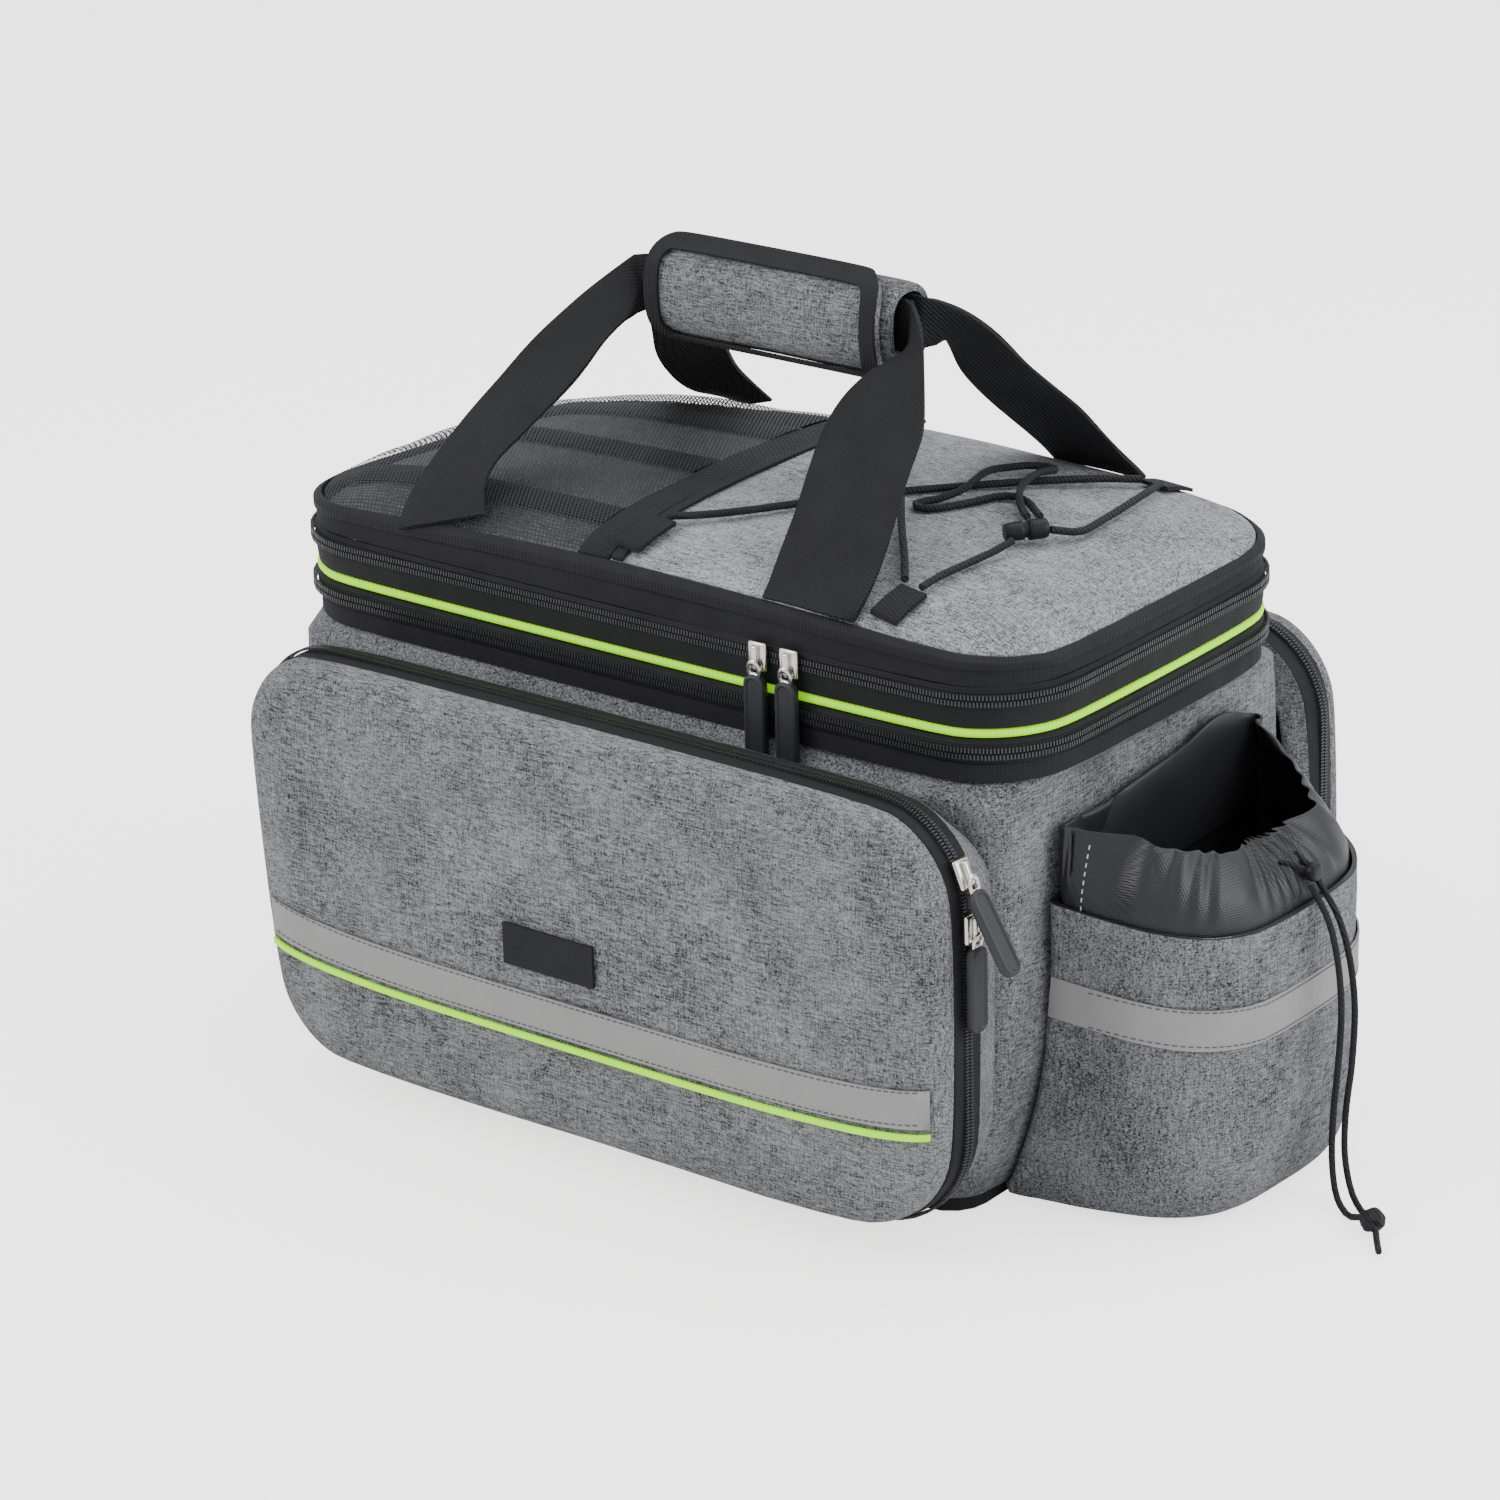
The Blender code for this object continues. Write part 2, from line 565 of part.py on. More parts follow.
def band():
    """The belts between the body and the lid's top, from below."""
    belt("lower_band", plain_section(BAND_BOTTOM, LOWER_BAND_HEIGHT), BLACK_CLOTH)
    rows = zip_section(EXPANSION_BOTTOM, EXPANSION_ZIP_HEIGHT, 0.5)
    belt("expansion_zip", rows, BLACK_CLOTH)
    radius = PIPING_HEIGHT / 2
    middle = PIPING_BOTTOM + radius
    angles = [math.radians(60 * step + 30) for step in range(6)]
    belt("green_piping", [(radius * (math.cos(a) - 0.4), middle + radius * math.sin(a))
                          for a in angles], LIME)
    rows = zip_section(LID_ZIP_BOTTOM, LID_ZIP_HEIGHT, LID_COIL_SHARE)
    belt("lid_zip", rows, BLACK_CLOTH)
    belt("lid_band", plain_section(LID_BAND_BOTTOM, LID_BAND_HEIGHT), BLACK_CLOTH)
    proud = 0.0012
    belt("lid_binding", [
        (-BINDING_DEPTH, BINDING_BOTTOM), (proud, BINDING_BOTTOM),
        (proud, BINDING_BOTTOM + BINDING_HEIGHT * 0.6), (-proud, RIM_TOP),
        (-BINDING_DEPTH, RIM_TOP)], BLACK_WEBBING)


LID_HALF_X = LID_LENGTH / 2 - BINDING_DEPTH - GAP
LID_HALF_Y = LID_WIDTH / 2 - BINDING_DEPTH - GAP
LID_INNER_CORNER = LID_CORNER - BINDING_DEPTH - GAP


def lid_half_width(x):
    """Half width of the lid's sheet at a place along it."""
    past = abs(x) - (LID_HALF_X - LID_INNER_CORNER)
    if past <= 0:
        return LID_HALF_Y
    reach = math.sqrt(max(0.0, LID_INNER_CORNER ** 2 - past ** 2))
    return LID_HALF_Y - LID_INNER_CORNER + reach


def lid_height(x, y):
    """Height of the pillow-shaped lid: steep at the edge and nearly flat on top."""
    along = min(1.0, abs(x) / LID_HALF_X)
    across = min(1.0, abs(y) / lid_half_width(x))
    edge = bowed(x, RIM_TOP)
    fullness = (1 - along ** 6) ** 0.7 * (1 - across ** 4) ** 0.8
    return edge + (LID_TOP - edge) * fullness


LID_SHARES = (-1, -0.96, -0.87, -0.68, -0.25, 0.25, 0.68, 0.87, 0.96, 1)


def lid_stations(start, stop):
    """Places along the lid where a sheet has a row, closer together over the round corners."""
    straight = LID_HALF_X - LID_INNER_CORNER
    places = {start, stop}
    for step in range(7):
        places.add(straight * (step / 3 - 1))
    for step in range(1, ARC_STEPS + 1):
        degrees = 90 * step / ARC_STEPS
        places.add(straight + LID_INNER_CORNER * math.sin(math.radians(degrees)))
        places.add(-straight - LID_INNER_CORNER * math.sin(math.radians(degrees)))
    return sorted(place for place in places if start <= place <= stop)


def lid_sheet(name, start, stop, thickness, look, lift=0.0):
    """A piece of the domed lid from one place along it to another."""
    upper, lower = [], []
    for x in lid_stations(start, stop):
        half = lid_half_width(x)
        top = [Vector((x, share * half, lid_height(x, share * half) + lift))
               for share in LID_SHARES]
        upper.append(top)
        lower.append([point - Vector((0, 0, thickness)) for point in top])
    return sheet(name, upper, lower, look)


def lid_floor():
    """The flat black panel under the net, which closes the compartment there."""
    z = LID_BAND_BOTTOM
    stations = [x for x in lid_stations(-LID_HALF_X, CROSS_BAND_FRONT)]
    upper = [[Vector((x, side * lid_half_width(x), z)) for side in (-1, 1)] for x in stations]
    lower = [[point - Vector((0, 0, THIN_CLOTH)) for point in row] for row in upper]
    return sheet("lid_floor", upper, lower, BLACK_CLOTH)


def lid_ribbon(name, root, tip, width, lift, thickness, look, steps=3):
    """A short strip lying on the lid from root to tip."""
    root, tip = Vector(root), Vector(tip)
    across = (tip - root).normalized().orthogonal() * width / 2
    upper = []
    for step in range(steps + 1):
        middle = root.lerp(tip, step / steps)
        row = []
        for side in (-1, 1):
            place = middle + across * side
            z = lid_height(place.x, place.y) + lift + thickness
            row.append(Vector((place.x, place.y, z)))
        upper.append(row)
    lower = [[point - Vector((0, 0, thickness)) for point in row] for row in upper]
    return sheet(name, upper, lower, look)


def lid():
    """Net over the front half, cloth over the rear half, and the bands between them."""
    cross_end = CROSS_BAND_FRONT + CROSS_BAND_WIDTH
    lid_sheet("mesh_cover", -LID_HALF_X, CROSS_BAND_FRONT - GAP, THIN_CLOTH, NET)
    lid_sheet("cross_band", CROSS_BAND_FRONT, cross_end, THIN_CLOTH * 2, BLACK_WEBBING,
              THIN_CLOTH / 2)
    lid_sheet("lid_panel", cross_end + GAP, LID_HALF_X, CLOTH, GRAY_CLOTH)
    lid_sheet("cross_strip", CROSS_STRIP_BACK - CROSS_STRIP_WIDTH, CROSS_STRIP_BACK, THIN_CLOTH,
              BLACK_WEBBING, THIN_CLOTH + GAP)
    lid_floor()
    for row in TAB_ROWS:
        ends = [(row[end][0] * LID_LENGTH, row[end][1] * LID_WIDTH / 2) for end in ("root", "tip")]
        lid_ribbon("bungee_tab_" + row["name"], ends[0], ends[1], TAB_WIDTH,
                   row["lift"] * TAB_LIFT, WEBBING, BLACK_WEBBING)


def lid_cords():
    """The elastic cord laced across the lid, and the loop that its lock leaves slack."""
    for name, points in LID_CORDS.items():
        placed = []
        for x, y, lift in points:
            placed.append((x, y, lid_height(x, y) + lift + BUNGEE_DIAMETER / 2))
        tube(name, smooth_route(placed, BUNGEE_DIAMETER * CORD_SPACING), BUNGEE_DIAMETER, BLACK_NYLON)
    middle = Vector((0.1275, -0.0150, 0))
    middle.z = lid_height(middle.x, middle.y) + LOCK_DIAMETER / 2 + 2 * GAP
    axis = Vector((0.62, 0.78, 0))
    half, wide = LOCK_LENGTH / 2, LOCK_DIAMETER / 2
    turned("bungee_lock", middle, axis, [
        (-half, wide * 0.75), (-half * 0.85, wide * 0.9), (-half * 0.15, wide * 0.9),
        (-half * 0.1, wide * 0.7), (half * 0.05, wide * 0.7), (half * 0.1, wide),
        (half * 0.9, wide), (half, wide * 0.8)], PLASTIC)


# Side pockets

def pocket_outline():
    """Outline of a side pocket seen from its own side, as (x, z)."""
    front = POCKET_REAR - POCKET_LENGTH
    round_rear = POCKET_CORNER * 1.15
    return rounded_outline([
        (front + POCKET_SLANT, POCKET_BOTTOM, POCKET_CORNER, LONG_STEPS),
        (POCKET_REAR, POCKET_BOTTOM, round_rear, SHORT_STEPS),
        (POCKET_REAR, POCKET_TOP, POCKET_CORNER, LONG_STEPS),
        (front, POCKET_TOP, POCKET_CORNER * 0.9, SHORT_STEPS)])


POCKET_FACE = BODY_WIDTH / 2 + GAP
TAPE_DEPTH = ZIP_TAPE_WIDTH + 2 * GAP
POCKET_MIDDLE = Vector((POCKET_REAR - POCKET_LENGTH / 2, (POCKET_TOP + POCKET_BOTTOM) / 2))
POCKETS = [
    dict(label="near_pocket", side=-1, gusset=1.0, sink=0.0, slider_end=1),
    dict(label="far_pocket", side=1, gusset=FAR_GUSSET_SHARE, sink=FAR_POCKET_SINK, slider_end=-1),
]


def tape_face(pocket):
    """Distance of a side pocket's zip tape from the bag's middle plane."""
    return POCKET_FACE + GUSSET_DEPTH * pocket["gusset"] + GAP


def pocket_ring(name, pocket, section, look, top_flare=0.0):
    """A ring of one section round a side pocket: section rows are (outward, distance from X).

    The first two rows lie on the body, and top_flare draws them in along the pocket's top.
    """
    rings = []
    for point, normal in pocket_outline():
        ring = []
        for index, (outward, away) in enumerate(section):
            flare = top_flare * max(0.0, normal.y) if index < 2 else 0.0
            place = point + normal * (outward - flare)
            ring.append((place.x, pocket["side"] * away, place.y - pocket["sink"]))
        rings.append(ring)
    return skin(name, rings, look, closed=True)


def shell_scale(x, z):
    """Share of the pocket's outline that passes through a point of its front."""
    spoke = Vector((x, z)) - POCKET_MIDDLE
    outline = [point - POCKET_MIDDLE for point, _ in pocket_outline()]
    for here, there in zip(outline, outline[1:] + outline[:1]):
        edge = there - here
        across = spoke.cross(edge)
        if abs(across) < 1e-12:
            continue
        along = here.cross(spoke) / edge.cross(spoke) * -1
        reach = here.cross(edge) / across
        if reach > 0 and -1e-6 <= along <= 1 + 1e-6:
            return 1 / reach
    return 0.0


def shell_bulge(x, z):
    """How far the shell's outer face stands out of the zip's edge."""
    rows = [dict(row, fall=-row["scale"]) for row in SHELL_ROWS[1:]]
    return SHELL_DEPTH * read_table(rows, "fall", -shell_scale(x, z), "depth")


def pocket_shell(pocket):
    """The stiff bulging front of a side pocket, dished behind."""
    outline = [point for point, _ in pocket_outline()]
    face = tape_face(pocket) + TAPE_DEPTH - GAP

    def ring(scale, depth):
        places = [POCKET_MIDDLE + (point - POCKET_MIDDLE) * scale for point in outline]
        return [(place.x, pocket["side"] * (face + depth), place.y - pocket["sink"])
                for place in places]

    wall = EVA_WALL / (POCKET_TOP - POCKET_BOTTOM) * 2
    outer = [ring(row["scale"], SHELL_DEPTH * row["depth"]) for row in SHELL_ROWS]
    inner = [ring(1 - wall, 0.0)]
    for row in SHELL_ROWS[2:]:
        inner.append(ring(row["scale"] - wall, SHELL_DEPTH * row["depth"] - EVA_WALL))
    return skin(pocket["label"] + "_shell", inner[::-1] + outer, GRAY_CLOTH)


def on_shell(name, pocket, spine, height, thickness, look):
    """A strip lying on the shell's face: spine rows are (x, z of its lower edge)."""
    face = tape_face(pocket) + TAPE_DEPTH - GAP + STRIP_LIFT
    upper, lower = [], []
    for x, z in spine:
        top_row, low_row = [], []
        for step in range(3):
            level = z + height * step / 2
            away = face + shell_bulge(x, level)
            height_now = level - pocket["sink"]
            top_row.append(Vector((x, pocket["side"] * (away + thickness), height_now)))
            low_row.append(Vector((x, pocket["side"] * away, height_now)))
        upper.append(top_row)
        lower.append(low_row)
    return sheet(name, upper, lower, look)


def trim_spine(bottom, reach):
    """Lower edge of a band across the pocket, smiling up a little towards both ends."""
    front = POCKET_REAR - POCKET_LENGTH + POCKET_SLANT * 0.75
    spine = []
    for share in [-reach] + [-step for step in TRIM_STEPS[::-1]] + list(TRIM_STEPS[1:]) + [reach]:
        run = POCKET_REAR - POCKET_MIDDLE.x if share > 0 else POCKET_MIDDLE.x - front
        spine.append((POCKET_MIDDLE.x + run * share, bottom + TRIM_RISE * abs(share) ** 5))
    return spine


def block(name, start, down, face, size, standoff, look, ends):
    """A small bar along down, standing off a face: ends are (share of its length, of its size)."""
    length, width, thickness = size
    across = down.cross(face)
    rings = []
    for along, share in ends:
        centre = start + down * length * along + face * (standoff + thickness / 2)
        deep = face * thickness / 2 * min(1, share + 0.15)
        rings.append([centre + across * width / 2 * share * i + deep * j
                      for i, j in ((-1, -1), (1, -1), (1, 1), (-1, 1))])
    return skin(name, rings, look)


def zip_pull(name, top, down, face, lean=0.0):
    """A zip slider lying along down, and its moulded pull, hanging away from it by lean."""
    slider = (SLIDER_LENGTH, SLIDER_WIDTH, SLIDER_HEIGHT)
    block(name + "_slider", top, down, face, slider, 2 * GAP, METAL,
          ((0, 0.7), (0.2, 1), (0.75, 0.9), (1, 0.5)))
    start = top + down * (SLIDER_LENGTH + GAP)
    if lean:
        start += down * GAP * 3
        down, face = (down * math.cos(lean) + face * math.sin(lean),
                      face * math.cos(lean) - down * math.sin(lean))
    bar = (PULL_LENGTH, PULL_WIDTH, PULL_THICKNESS)
    block(name + "_pull", start, down, face, bar, PULL_STANDOFF, RUBBER,
          ((0, 0.6), (0.08, 0.95), (0.9, 1), (1, 0.6)))


def pocket_pulls(pocket):
    """The two sliders of a pocket's zip: one on the round top corner, one below it."""
    end = pocket["slider_end"]
    away = tape_face(pocket) + ZIP_TAPE_WIDTH * POCKET_COIL_SHARE
    reach = POCKET_REAR if end > 0 else POCKET_REAR - POCKET_LENGTH
    turn = math.radians(SLIDER_TURN)
    aim = Vector((end * math.cos(turn), math.sin(turn)))
    point, normal = max(pocket_outline(), key=lambda row: row[1].dot(aim))
    face = Vector((normal.x, 0, normal.y))
    down = Vector((end * normal.y, 0, -abs(normal.x)))
    touch = Vector((point.x, pocket["side"] * away, point.y - pocket["sink"]))
    touch += face * COIL_HEIGHT
    hang = math.radians(PULL_LEAN - SLIDER_TURN)
    zip_pull(pocket["label"] + "_zip_a", touch - down * SLIDER_LENGTH / 2, down, face, hang)
    lean_in = math.atan2(POCKET_SLANT, POCKET_TOP - POCKET_BOTTOM) if end < 0 else 0.0
    down = Vector((math.sin(lean_in), 0, -math.cos(lean_in)))
    face = Vector((end * math.cos(lean_in), 0, -math.sin(lean_in)))
    level = POCKET_TOP - POCKET_CORNER + SLIDER_DROP - pocket["sink"]
    top = Vector((reach + end * COIL_HEIGHT, pocket["side"] * away, level))
    top.x += (POCKET_TOP - top.z) * math.tan(lean_in)
    zip_pull(pocket["label"] + "_zip_b", top, down, face)


def side_pocket(pocket):
    """One side pocket: gusset, zip ring, shell, reflective strip, trim and zip pulls."""
    label = pocket["label"]
    face = tape_face(pocket)
    gusset = [(-GUSSET_FLARE - CLOTH, POCKET_FACE), (-GUSSET_FLARE, POCKET_FACE),
              (0, face - GAP), (-CLOTH, face - GAP)]
    pocket_ring(label + "_gusset", pocket, gusset, GRAY_CLOTH, GUSSET_TOP_FLARE - GUSSET_FLARE)
    section = [(outward, face + level) for outward, level
               in zip_section(0.0, ZIP_TAPE_WIDTH, POCKET_COIL_SHARE)]
    pocket_ring(label + "_zip", pocket, section, BLACK_CLOTH)
    pocket_shell(pocket)
    on_shell(label + "_reflector", pocket, trim_spine(STRIP_BOTTOM, STRIP_REACH), STRIP_HEIGHT,
             THIN_CLOTH / 2, REFLECTIVE)
    on_shell(label + "_trim", pocket, trim_spine(TRIM_BOTTOM, STRIP_REACH), TRIM_HEIGHT,
             THIN_CLOTH, LIME)
    pocket_pulls(pocket)


def label_patch():
    """The plain black patch on the near shell, bare."""
    spine = [(LABEL_CENTRE_X + LABEL_LENGTH * (step / 4 - 0.5),
              LABEL_CENTRE_Z - LABEL_HEIGHT / 2) for step in range(5)]
    return on_shell("label_patch", POCKETS[0], spine, LABEL_HEIGHT, THIN_CLOTH, BLACK_CLOTH)


# Bottle pocket

def bottle_outline(z, inset=0.0, nose=BOTTLE_NOSE):
    """Outline of the bottle pocket at a height: flat against the body and round outside."""
    share = (z - BOTTLE_BOTTOM) / BOTTLE_HEIGHT
    back = body_end_x(z) + 0.0006 + inset
    front = BODY_LENGTH / 2 + BOTTLE_REACH * read_table(BOTTLE_ROWS, "height", share, "reach") \
        - inset
    half = BOTTLE_HALF_WIDTH * read_table(BOTTLE_ROWS, "height", share, "width") - inset
    narrow = half * 0.80
    return rounded_outline([
        (back, -half, 0.004, 2), (front, -narrow, nose, 2),
        (front, narrow, nose, 2), (back, half, 0.004, 3)])


def bottle_rise(x):
    """How far the bottle pocket's top and its strip climb towards the body."""
    return BOTTLE_RISE * min(1.0, max(0.0, (NOSE - x) / BOTTLE_REACH))


def bottle_pocket():
    """The gray pocket for a bottle, a tub open at the top."""
    top = BOTTLE_BOTTOM + BOTTLE_HEIGHT
    heights = [BOTTLE_BOTTOM + BOTTLE_HEIGHT * row["height"] for row in BOTTLE_ROWS]
    heights += [BODY_BOTTOM + BODY_HEIGHT * row["height"] for row in BODY_ROWS[:5]]
    heights = sorted(z for z in heights if BOTTLE_BOTTOM <= z <= top)

    def ring(z, inset):
        level = max(z, BOTTLE_BOTTOM + inset)
        return [(p.x, p.y, level + (bottle_rise(p.x) if z == top else 0.0))
                for p, _ in bottle_outline(z, inset)]

    outer = [ring(z, 0.0) for z in heights]
    inner = [ring(z, CLOTH) for z in heights
             if z == heights[0] or z > BOTTLE_BOTTOM + 2 * CLOTH]
    return skin("bottle_pocket", outer + inner[::-1], GRAY_CLOTH)


def bottle_strip():
    """The reflective strip round the outside of the bottle pocket."""
    upper, lower = [], []
    levels = [BOTTLE_STRIP_BOTTOM + BOTTLE_STRIP_HEIGHT * step / 2 for step in range(3)]
    outlines = [bottle_outline(z) for z in levels]
    count = 3 * (ARC_STEPS + 1) + 3
    for index in range(3, count):
        top_row, low_row = [], []
        for z, outline in zip(levels, outlines):
            point, normal = outline[index]
            near = point + normal * 0.0004
            far = point + normal * 0.0010
            low_row.append(Vector((near.x, near.y, z + bottle_rise(point.x))))
            top_row.append(Vector((far.x, far.y, z + bottle_rise(point.x))))
        upper.append(top_row)
        lower.append(low_row)
    return sheet("bottle_strip", upper, lower, REFLECTIVE)


def bottle_collar():
    """The thin gathered collar above the bottle pocket, with an uneven rim."""
    top = BOTTLE_BOTTOM + BOTTLE_HEIGHT
    seat = top - COLLAR_SEAT
    outline = bottle_outline(top, CLOTH + 2 * GAP)
    dense = []
    for (here, normal), (there, turned_normal) in zip(outline, outline[1:] + outline[:1]):
        steps = max(1, round((there - here).length / 0.009))
        for step in range(steps):
            share = step / steps
            dense.append((here.lerp(there, share), normal.lerp(turned_normal, share).normalized()))
    lengths = [(b[0] - a[0]).length for a, b in zip(dense, dense[1:] + dense[:1])]
    total = sum(lengths)
    walked, around = 0.0, []
    for length in lengths:
        around.append(walked / total)
        walked += length
    middle = sum((point for point, _ in dense), Vector((0, 0))) / len(dense)

    def ring(level, inset):
        places = []
        for (point, normal), share in zip(dense, around):
            rise = read_table(COLLAR_RIM, "around", share, "rise")
            height = seat + (COLLAR_SEAT + COLLAR_RISE * rise) * level
            free = 0.0 if height <= top else level ** 2
            back = max(0.0, -normal.x)
            ripple = COLLAR_RIPPLE * math.cos(math.tau * COLLAR_PLEATS * share)
            pinch = COLLAR_PINCH * free * (1 - back)
            place = point - normal * (inset + pinch) + normal * ripple * free * (1 - back)
            stand = max(body_end_x(height) + 0.0012 + inset, place.x)
            places.append((stand, place.y, height + bottle_rise(place.x)))
        return places

    levels = (0.0, 0.25, 1.0)
    outer = [ring(level, 0.0) for level in levels]
    inner = [ring(level, THIN_CLOTH) for level in levels]
    return skin("bottle_collar", outer + inner[::-1], BLACK_NYLON, closed=True)


def drawstring():
    """The toggle on the collar, the two strands, their knot and its tail."""
    nose = Vector((NOSE, 0, 0))
    turned("drawstring_lock", Vector(TOGGLE) + nose, Vector((1, 0, 0)), [
        (0, DRAW_LOCK_SIZE * 0.35), (0.001, DRAW_LOCK_SIZE * 0.45),
        (0.004, DRAW_LOCK_SIZE * 0.45), (0.005, DRAW_LOCK_SIZE * 0.35)], PLASTIC)
    for name, points in DRAWSTRINGS.items():
        placed = [Vector(point) + nose for point in points]
        tube(name, smooth_route(placed, DRAWSTRING_DIAMETER * CORD_SPACING), DRAWSTRING_DIAMETER,
             BLACK_NYLON)
    radius = KNOT_DIAMETER / 2
    turned("drawstring_knot", Vector(KNOT) + nose - Vector((0.0032, -0.0032, 0)), Vector((1, -1, 0)), [
        (0, radius * 0.4), (radius * 0.35, radius * 0.85), (radius * 0.85, radius),
        (radius * 1.35, radius * 0.85), (radius * 1.7, radius * 0.4)], BLACK_NYLON)
    placed = [Vector(point) + nose for point in TAIL]
    tube("drawstring_tail", smooth_route(placed, DRAWSTRING_DIAMETER * 1.5), DRAWSTRING_DIAMETER,
         BLACK_NYLON)


# Handles

def strap(name, side):
    """One webbing handle strap, sewn to the lid's edge at both ends."""
    anchors = [Vector((LID_LENGTH * row["along"], LID_WIDTH / 2 * row["apart"],
                       STRAP_ROOT + STRAP_RISE * row["rise"])) for row in STRAP_ROWS]
    fine = smooth_route(anchors, STRAP_SPACING)
    keys = []
    walked = 0.0
    for index, row in enumerate(STRAP_ROWS):
        if index:
            walked += (anchors[index] - anchors[index - 1]).length
        keys.append(dict(row, walked=walked))
    total = keys[-1]["walked"]
    upper, lower = [], []
    for index, place in enumerate(fine):
        along = total * index / (len(fine) - 1)
        ahead = fine[min(index + 1, len(fine) - 1)] - fine[max(index - 1, 0)]
        tangent = ahead.normalized()
        flat = read_table(keys, "walked", along, "flat")
        out = read_table(keys, "walked", along, "out")
        drop = read_table(keys, "walked", along, "drop")
        width = STRAP_WIDTH * read_table(keys, "walked", along, "width")
        direction = Vector((flat, out, -drop))
        direction = (direction - tangent * direction.dot(tangent)).normalized()
        normal = tangent.cross(direction).normalized()
        rows = []
        for layer in (-0.5, 0.5):
            row = []
            for edge in (-0.5, 0, 0.5):
                point = place + direction * width * edge + normal * WEBBING * layer
                row.append(Vector((point.x, side * point.y, point.z)))
            rows.append(row)
        upper.append(rows[0])
        lower.append(rows[1])
    return sheet(name, upper, lower, BLACK_WEBBING)


def grip_place(x, around, lift):
    """A point round the grip: around is the distance along its section from the near middle."""
    outline = rounded_outline([
        (-GRIP_DEPTH / 2, -GRIP_HEIGHT / 2, GRIP_CORNER, 2),
        (GRIP_DEPTH / 2, -GRIP_HEIGHT / 2, GRIP_CORNER, 2),
        (GRIP_DEPTH / 2, GRIP_HEIGHT / 2, GRIP_CORNER, 2),
        (-GRIP_DEPTH / 2, GRIP_HEIGHT / 2, GRIP_CORNER, 2)])
    middle = len(outline) - 1
    step = -1 if around > 0 else 1
    index, left = middle, abs(around)
    while True:
        here, normal = outline[index % len(outline)]
        there, next_normal = outline[(index + step) % len(outline)]
        run = (there - here).length
        if left <= run:
            share = left / run
            break
        left -= run
        index += step
    point = here.lerp(there, share)
    out = normal.lerp(next_normal, share).normalized()
    place = point + out * lift
    return Vector((x, place.x, GRIP_CENTRE_Z + place.y))


def grip():
    """The padded sleeve round both straps, its front flap and the flap's binding."""
    rings = []
    for x, inset in ((GRIP_FRONT, 0.001), (GRIP_FRONT + 0.004, 0),
                     (GRIP_FRONT + GRIP_LENGTH - 0.004, 0), (GRIP_FRONT + GRIP_LENGTH, 0.001)):
        outline = box_outline(GRIP_DEPTH / 2 - inset, GRIP_HEIGHT / 2 - inset, GRIP_CORNER)
        rings.append([(x, p.x, GRIP_CENTRE_Z + p.y) for p, _ in outline])
    wall = GRIP_WALL
    for x in (GRIP_FRONT + GRIP_LENGTH, GRIP_FRONT):
        outline = box_outline(GRIP_DEPTH / 2 - wall, GRIP_HEIGHT / 2 - wall, GRIP_CORNER - wall)
        rings.append([(x, p.x, GRIP_CENTRE_Z + p.y) for p, _ in outline])
    skin("handle_grip", rings, GRAY_CLOTH, closed=True)

    middle = GRIP_FRONT + GRIP_LENGTH / 2
    half = GRIP_LENGTH / 2 - FLAP_INSET
    lift = FLAP_LIFT
    upper, lower = [], []
    for degrees in (-90, -65, -40, -15, 0, 15, 40, 65, 90):
        turn = math.radians(abs(degrees))
        x = (half - FLAP_CORNER + FLAP_CORNER * math.sin(turn)) * (1 if degrees > 0 else -1)
        reach = FLAP_HALF_WRAP - FLAP_CORNER + FLAP_CORNER * math.cos(turn)
        if degrees == 0:
            x = 0.0
        shares = [step / 4 - 1 for step in range(9)]
        upper.append([grip_place(middle + x, reach * share, lift + FLAP_THICKNESS)
                      for share in shares])
        lower.append([grip_place(middle + x, reach * share, lift) for share in shares])
    sheet("grip_flap", upper, lower, GRAY_CLOTH)

    rings = []
    outline = rounded_outline([
        (-half, -FLAP_HALF_WRAP, FLAP_CORNER, LONG_STEPS),
        (half, -FLAP_HALF_WRAP, FLAP_CORNER, SHORT_STEPS),
        (half, FLAP_HALF_WRAP, FLAP_CORNER, LONG_STEPS),
        (-half, FLAP_HALF_WRAP, FLAP_CORNER, SHORT_STEPS)])
    low = lift + FLAP_THICKNESS + FLAP_LIFT
    for point, normal in outline:
        section = ((0, low), (0, low + THIN_CLOTH), (-FLAP_BINDING, low + THIN_CLOTH),
                   (-FLAP_BINDING, low))
        ring = []
        for outward, height in section:
            place = point + normal * outward
            ring.append(grip_place(middle + place.x, place.y, height))
        rings.append(ring)
    skin("grip_binding", rings, BLACK_WEBBING, closed=True)


def build():
    """Make every piece of the bag."""
    base_panel()
    body_shell()
    band()
    lid()
    lid_cords()
    for pocket in POCKETS:
        side_pocket(pocket)
    label_patch()
    for name, x in LID_SLIDERS.items():
        top = Vector((x, -LID_COIL_FACE, LID_COIL_MIDDLE + SLIDER_LENGTH / 2))
        zip_pull(name, top, Vector((0, 0, -1)), Vector((0, -1, 0)))
    bottle_pocket()
    bottle_strip()
    bottle_collar()
    drawstring()
    strap("handle_strap_near", -1)
    strap("handle_strap_far", 1)
    grip()


build()
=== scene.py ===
# %% [markdown]
# The object is a soft box of gray melange cloth with a domed lid, half net and half cloth. It
# has two stiff side pockets, a bottle pocket with a gathered collar, and two webbing handles
# that meet in a padded grip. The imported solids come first, because they say
# where every piece sits, and each of them is then dressed or replaced in place.

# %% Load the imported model
import math

import bmesh
import bpy
import numpy as np
from mathutils import Matrix, Vector, noise
from mathutils.bvhtree import BVHTree


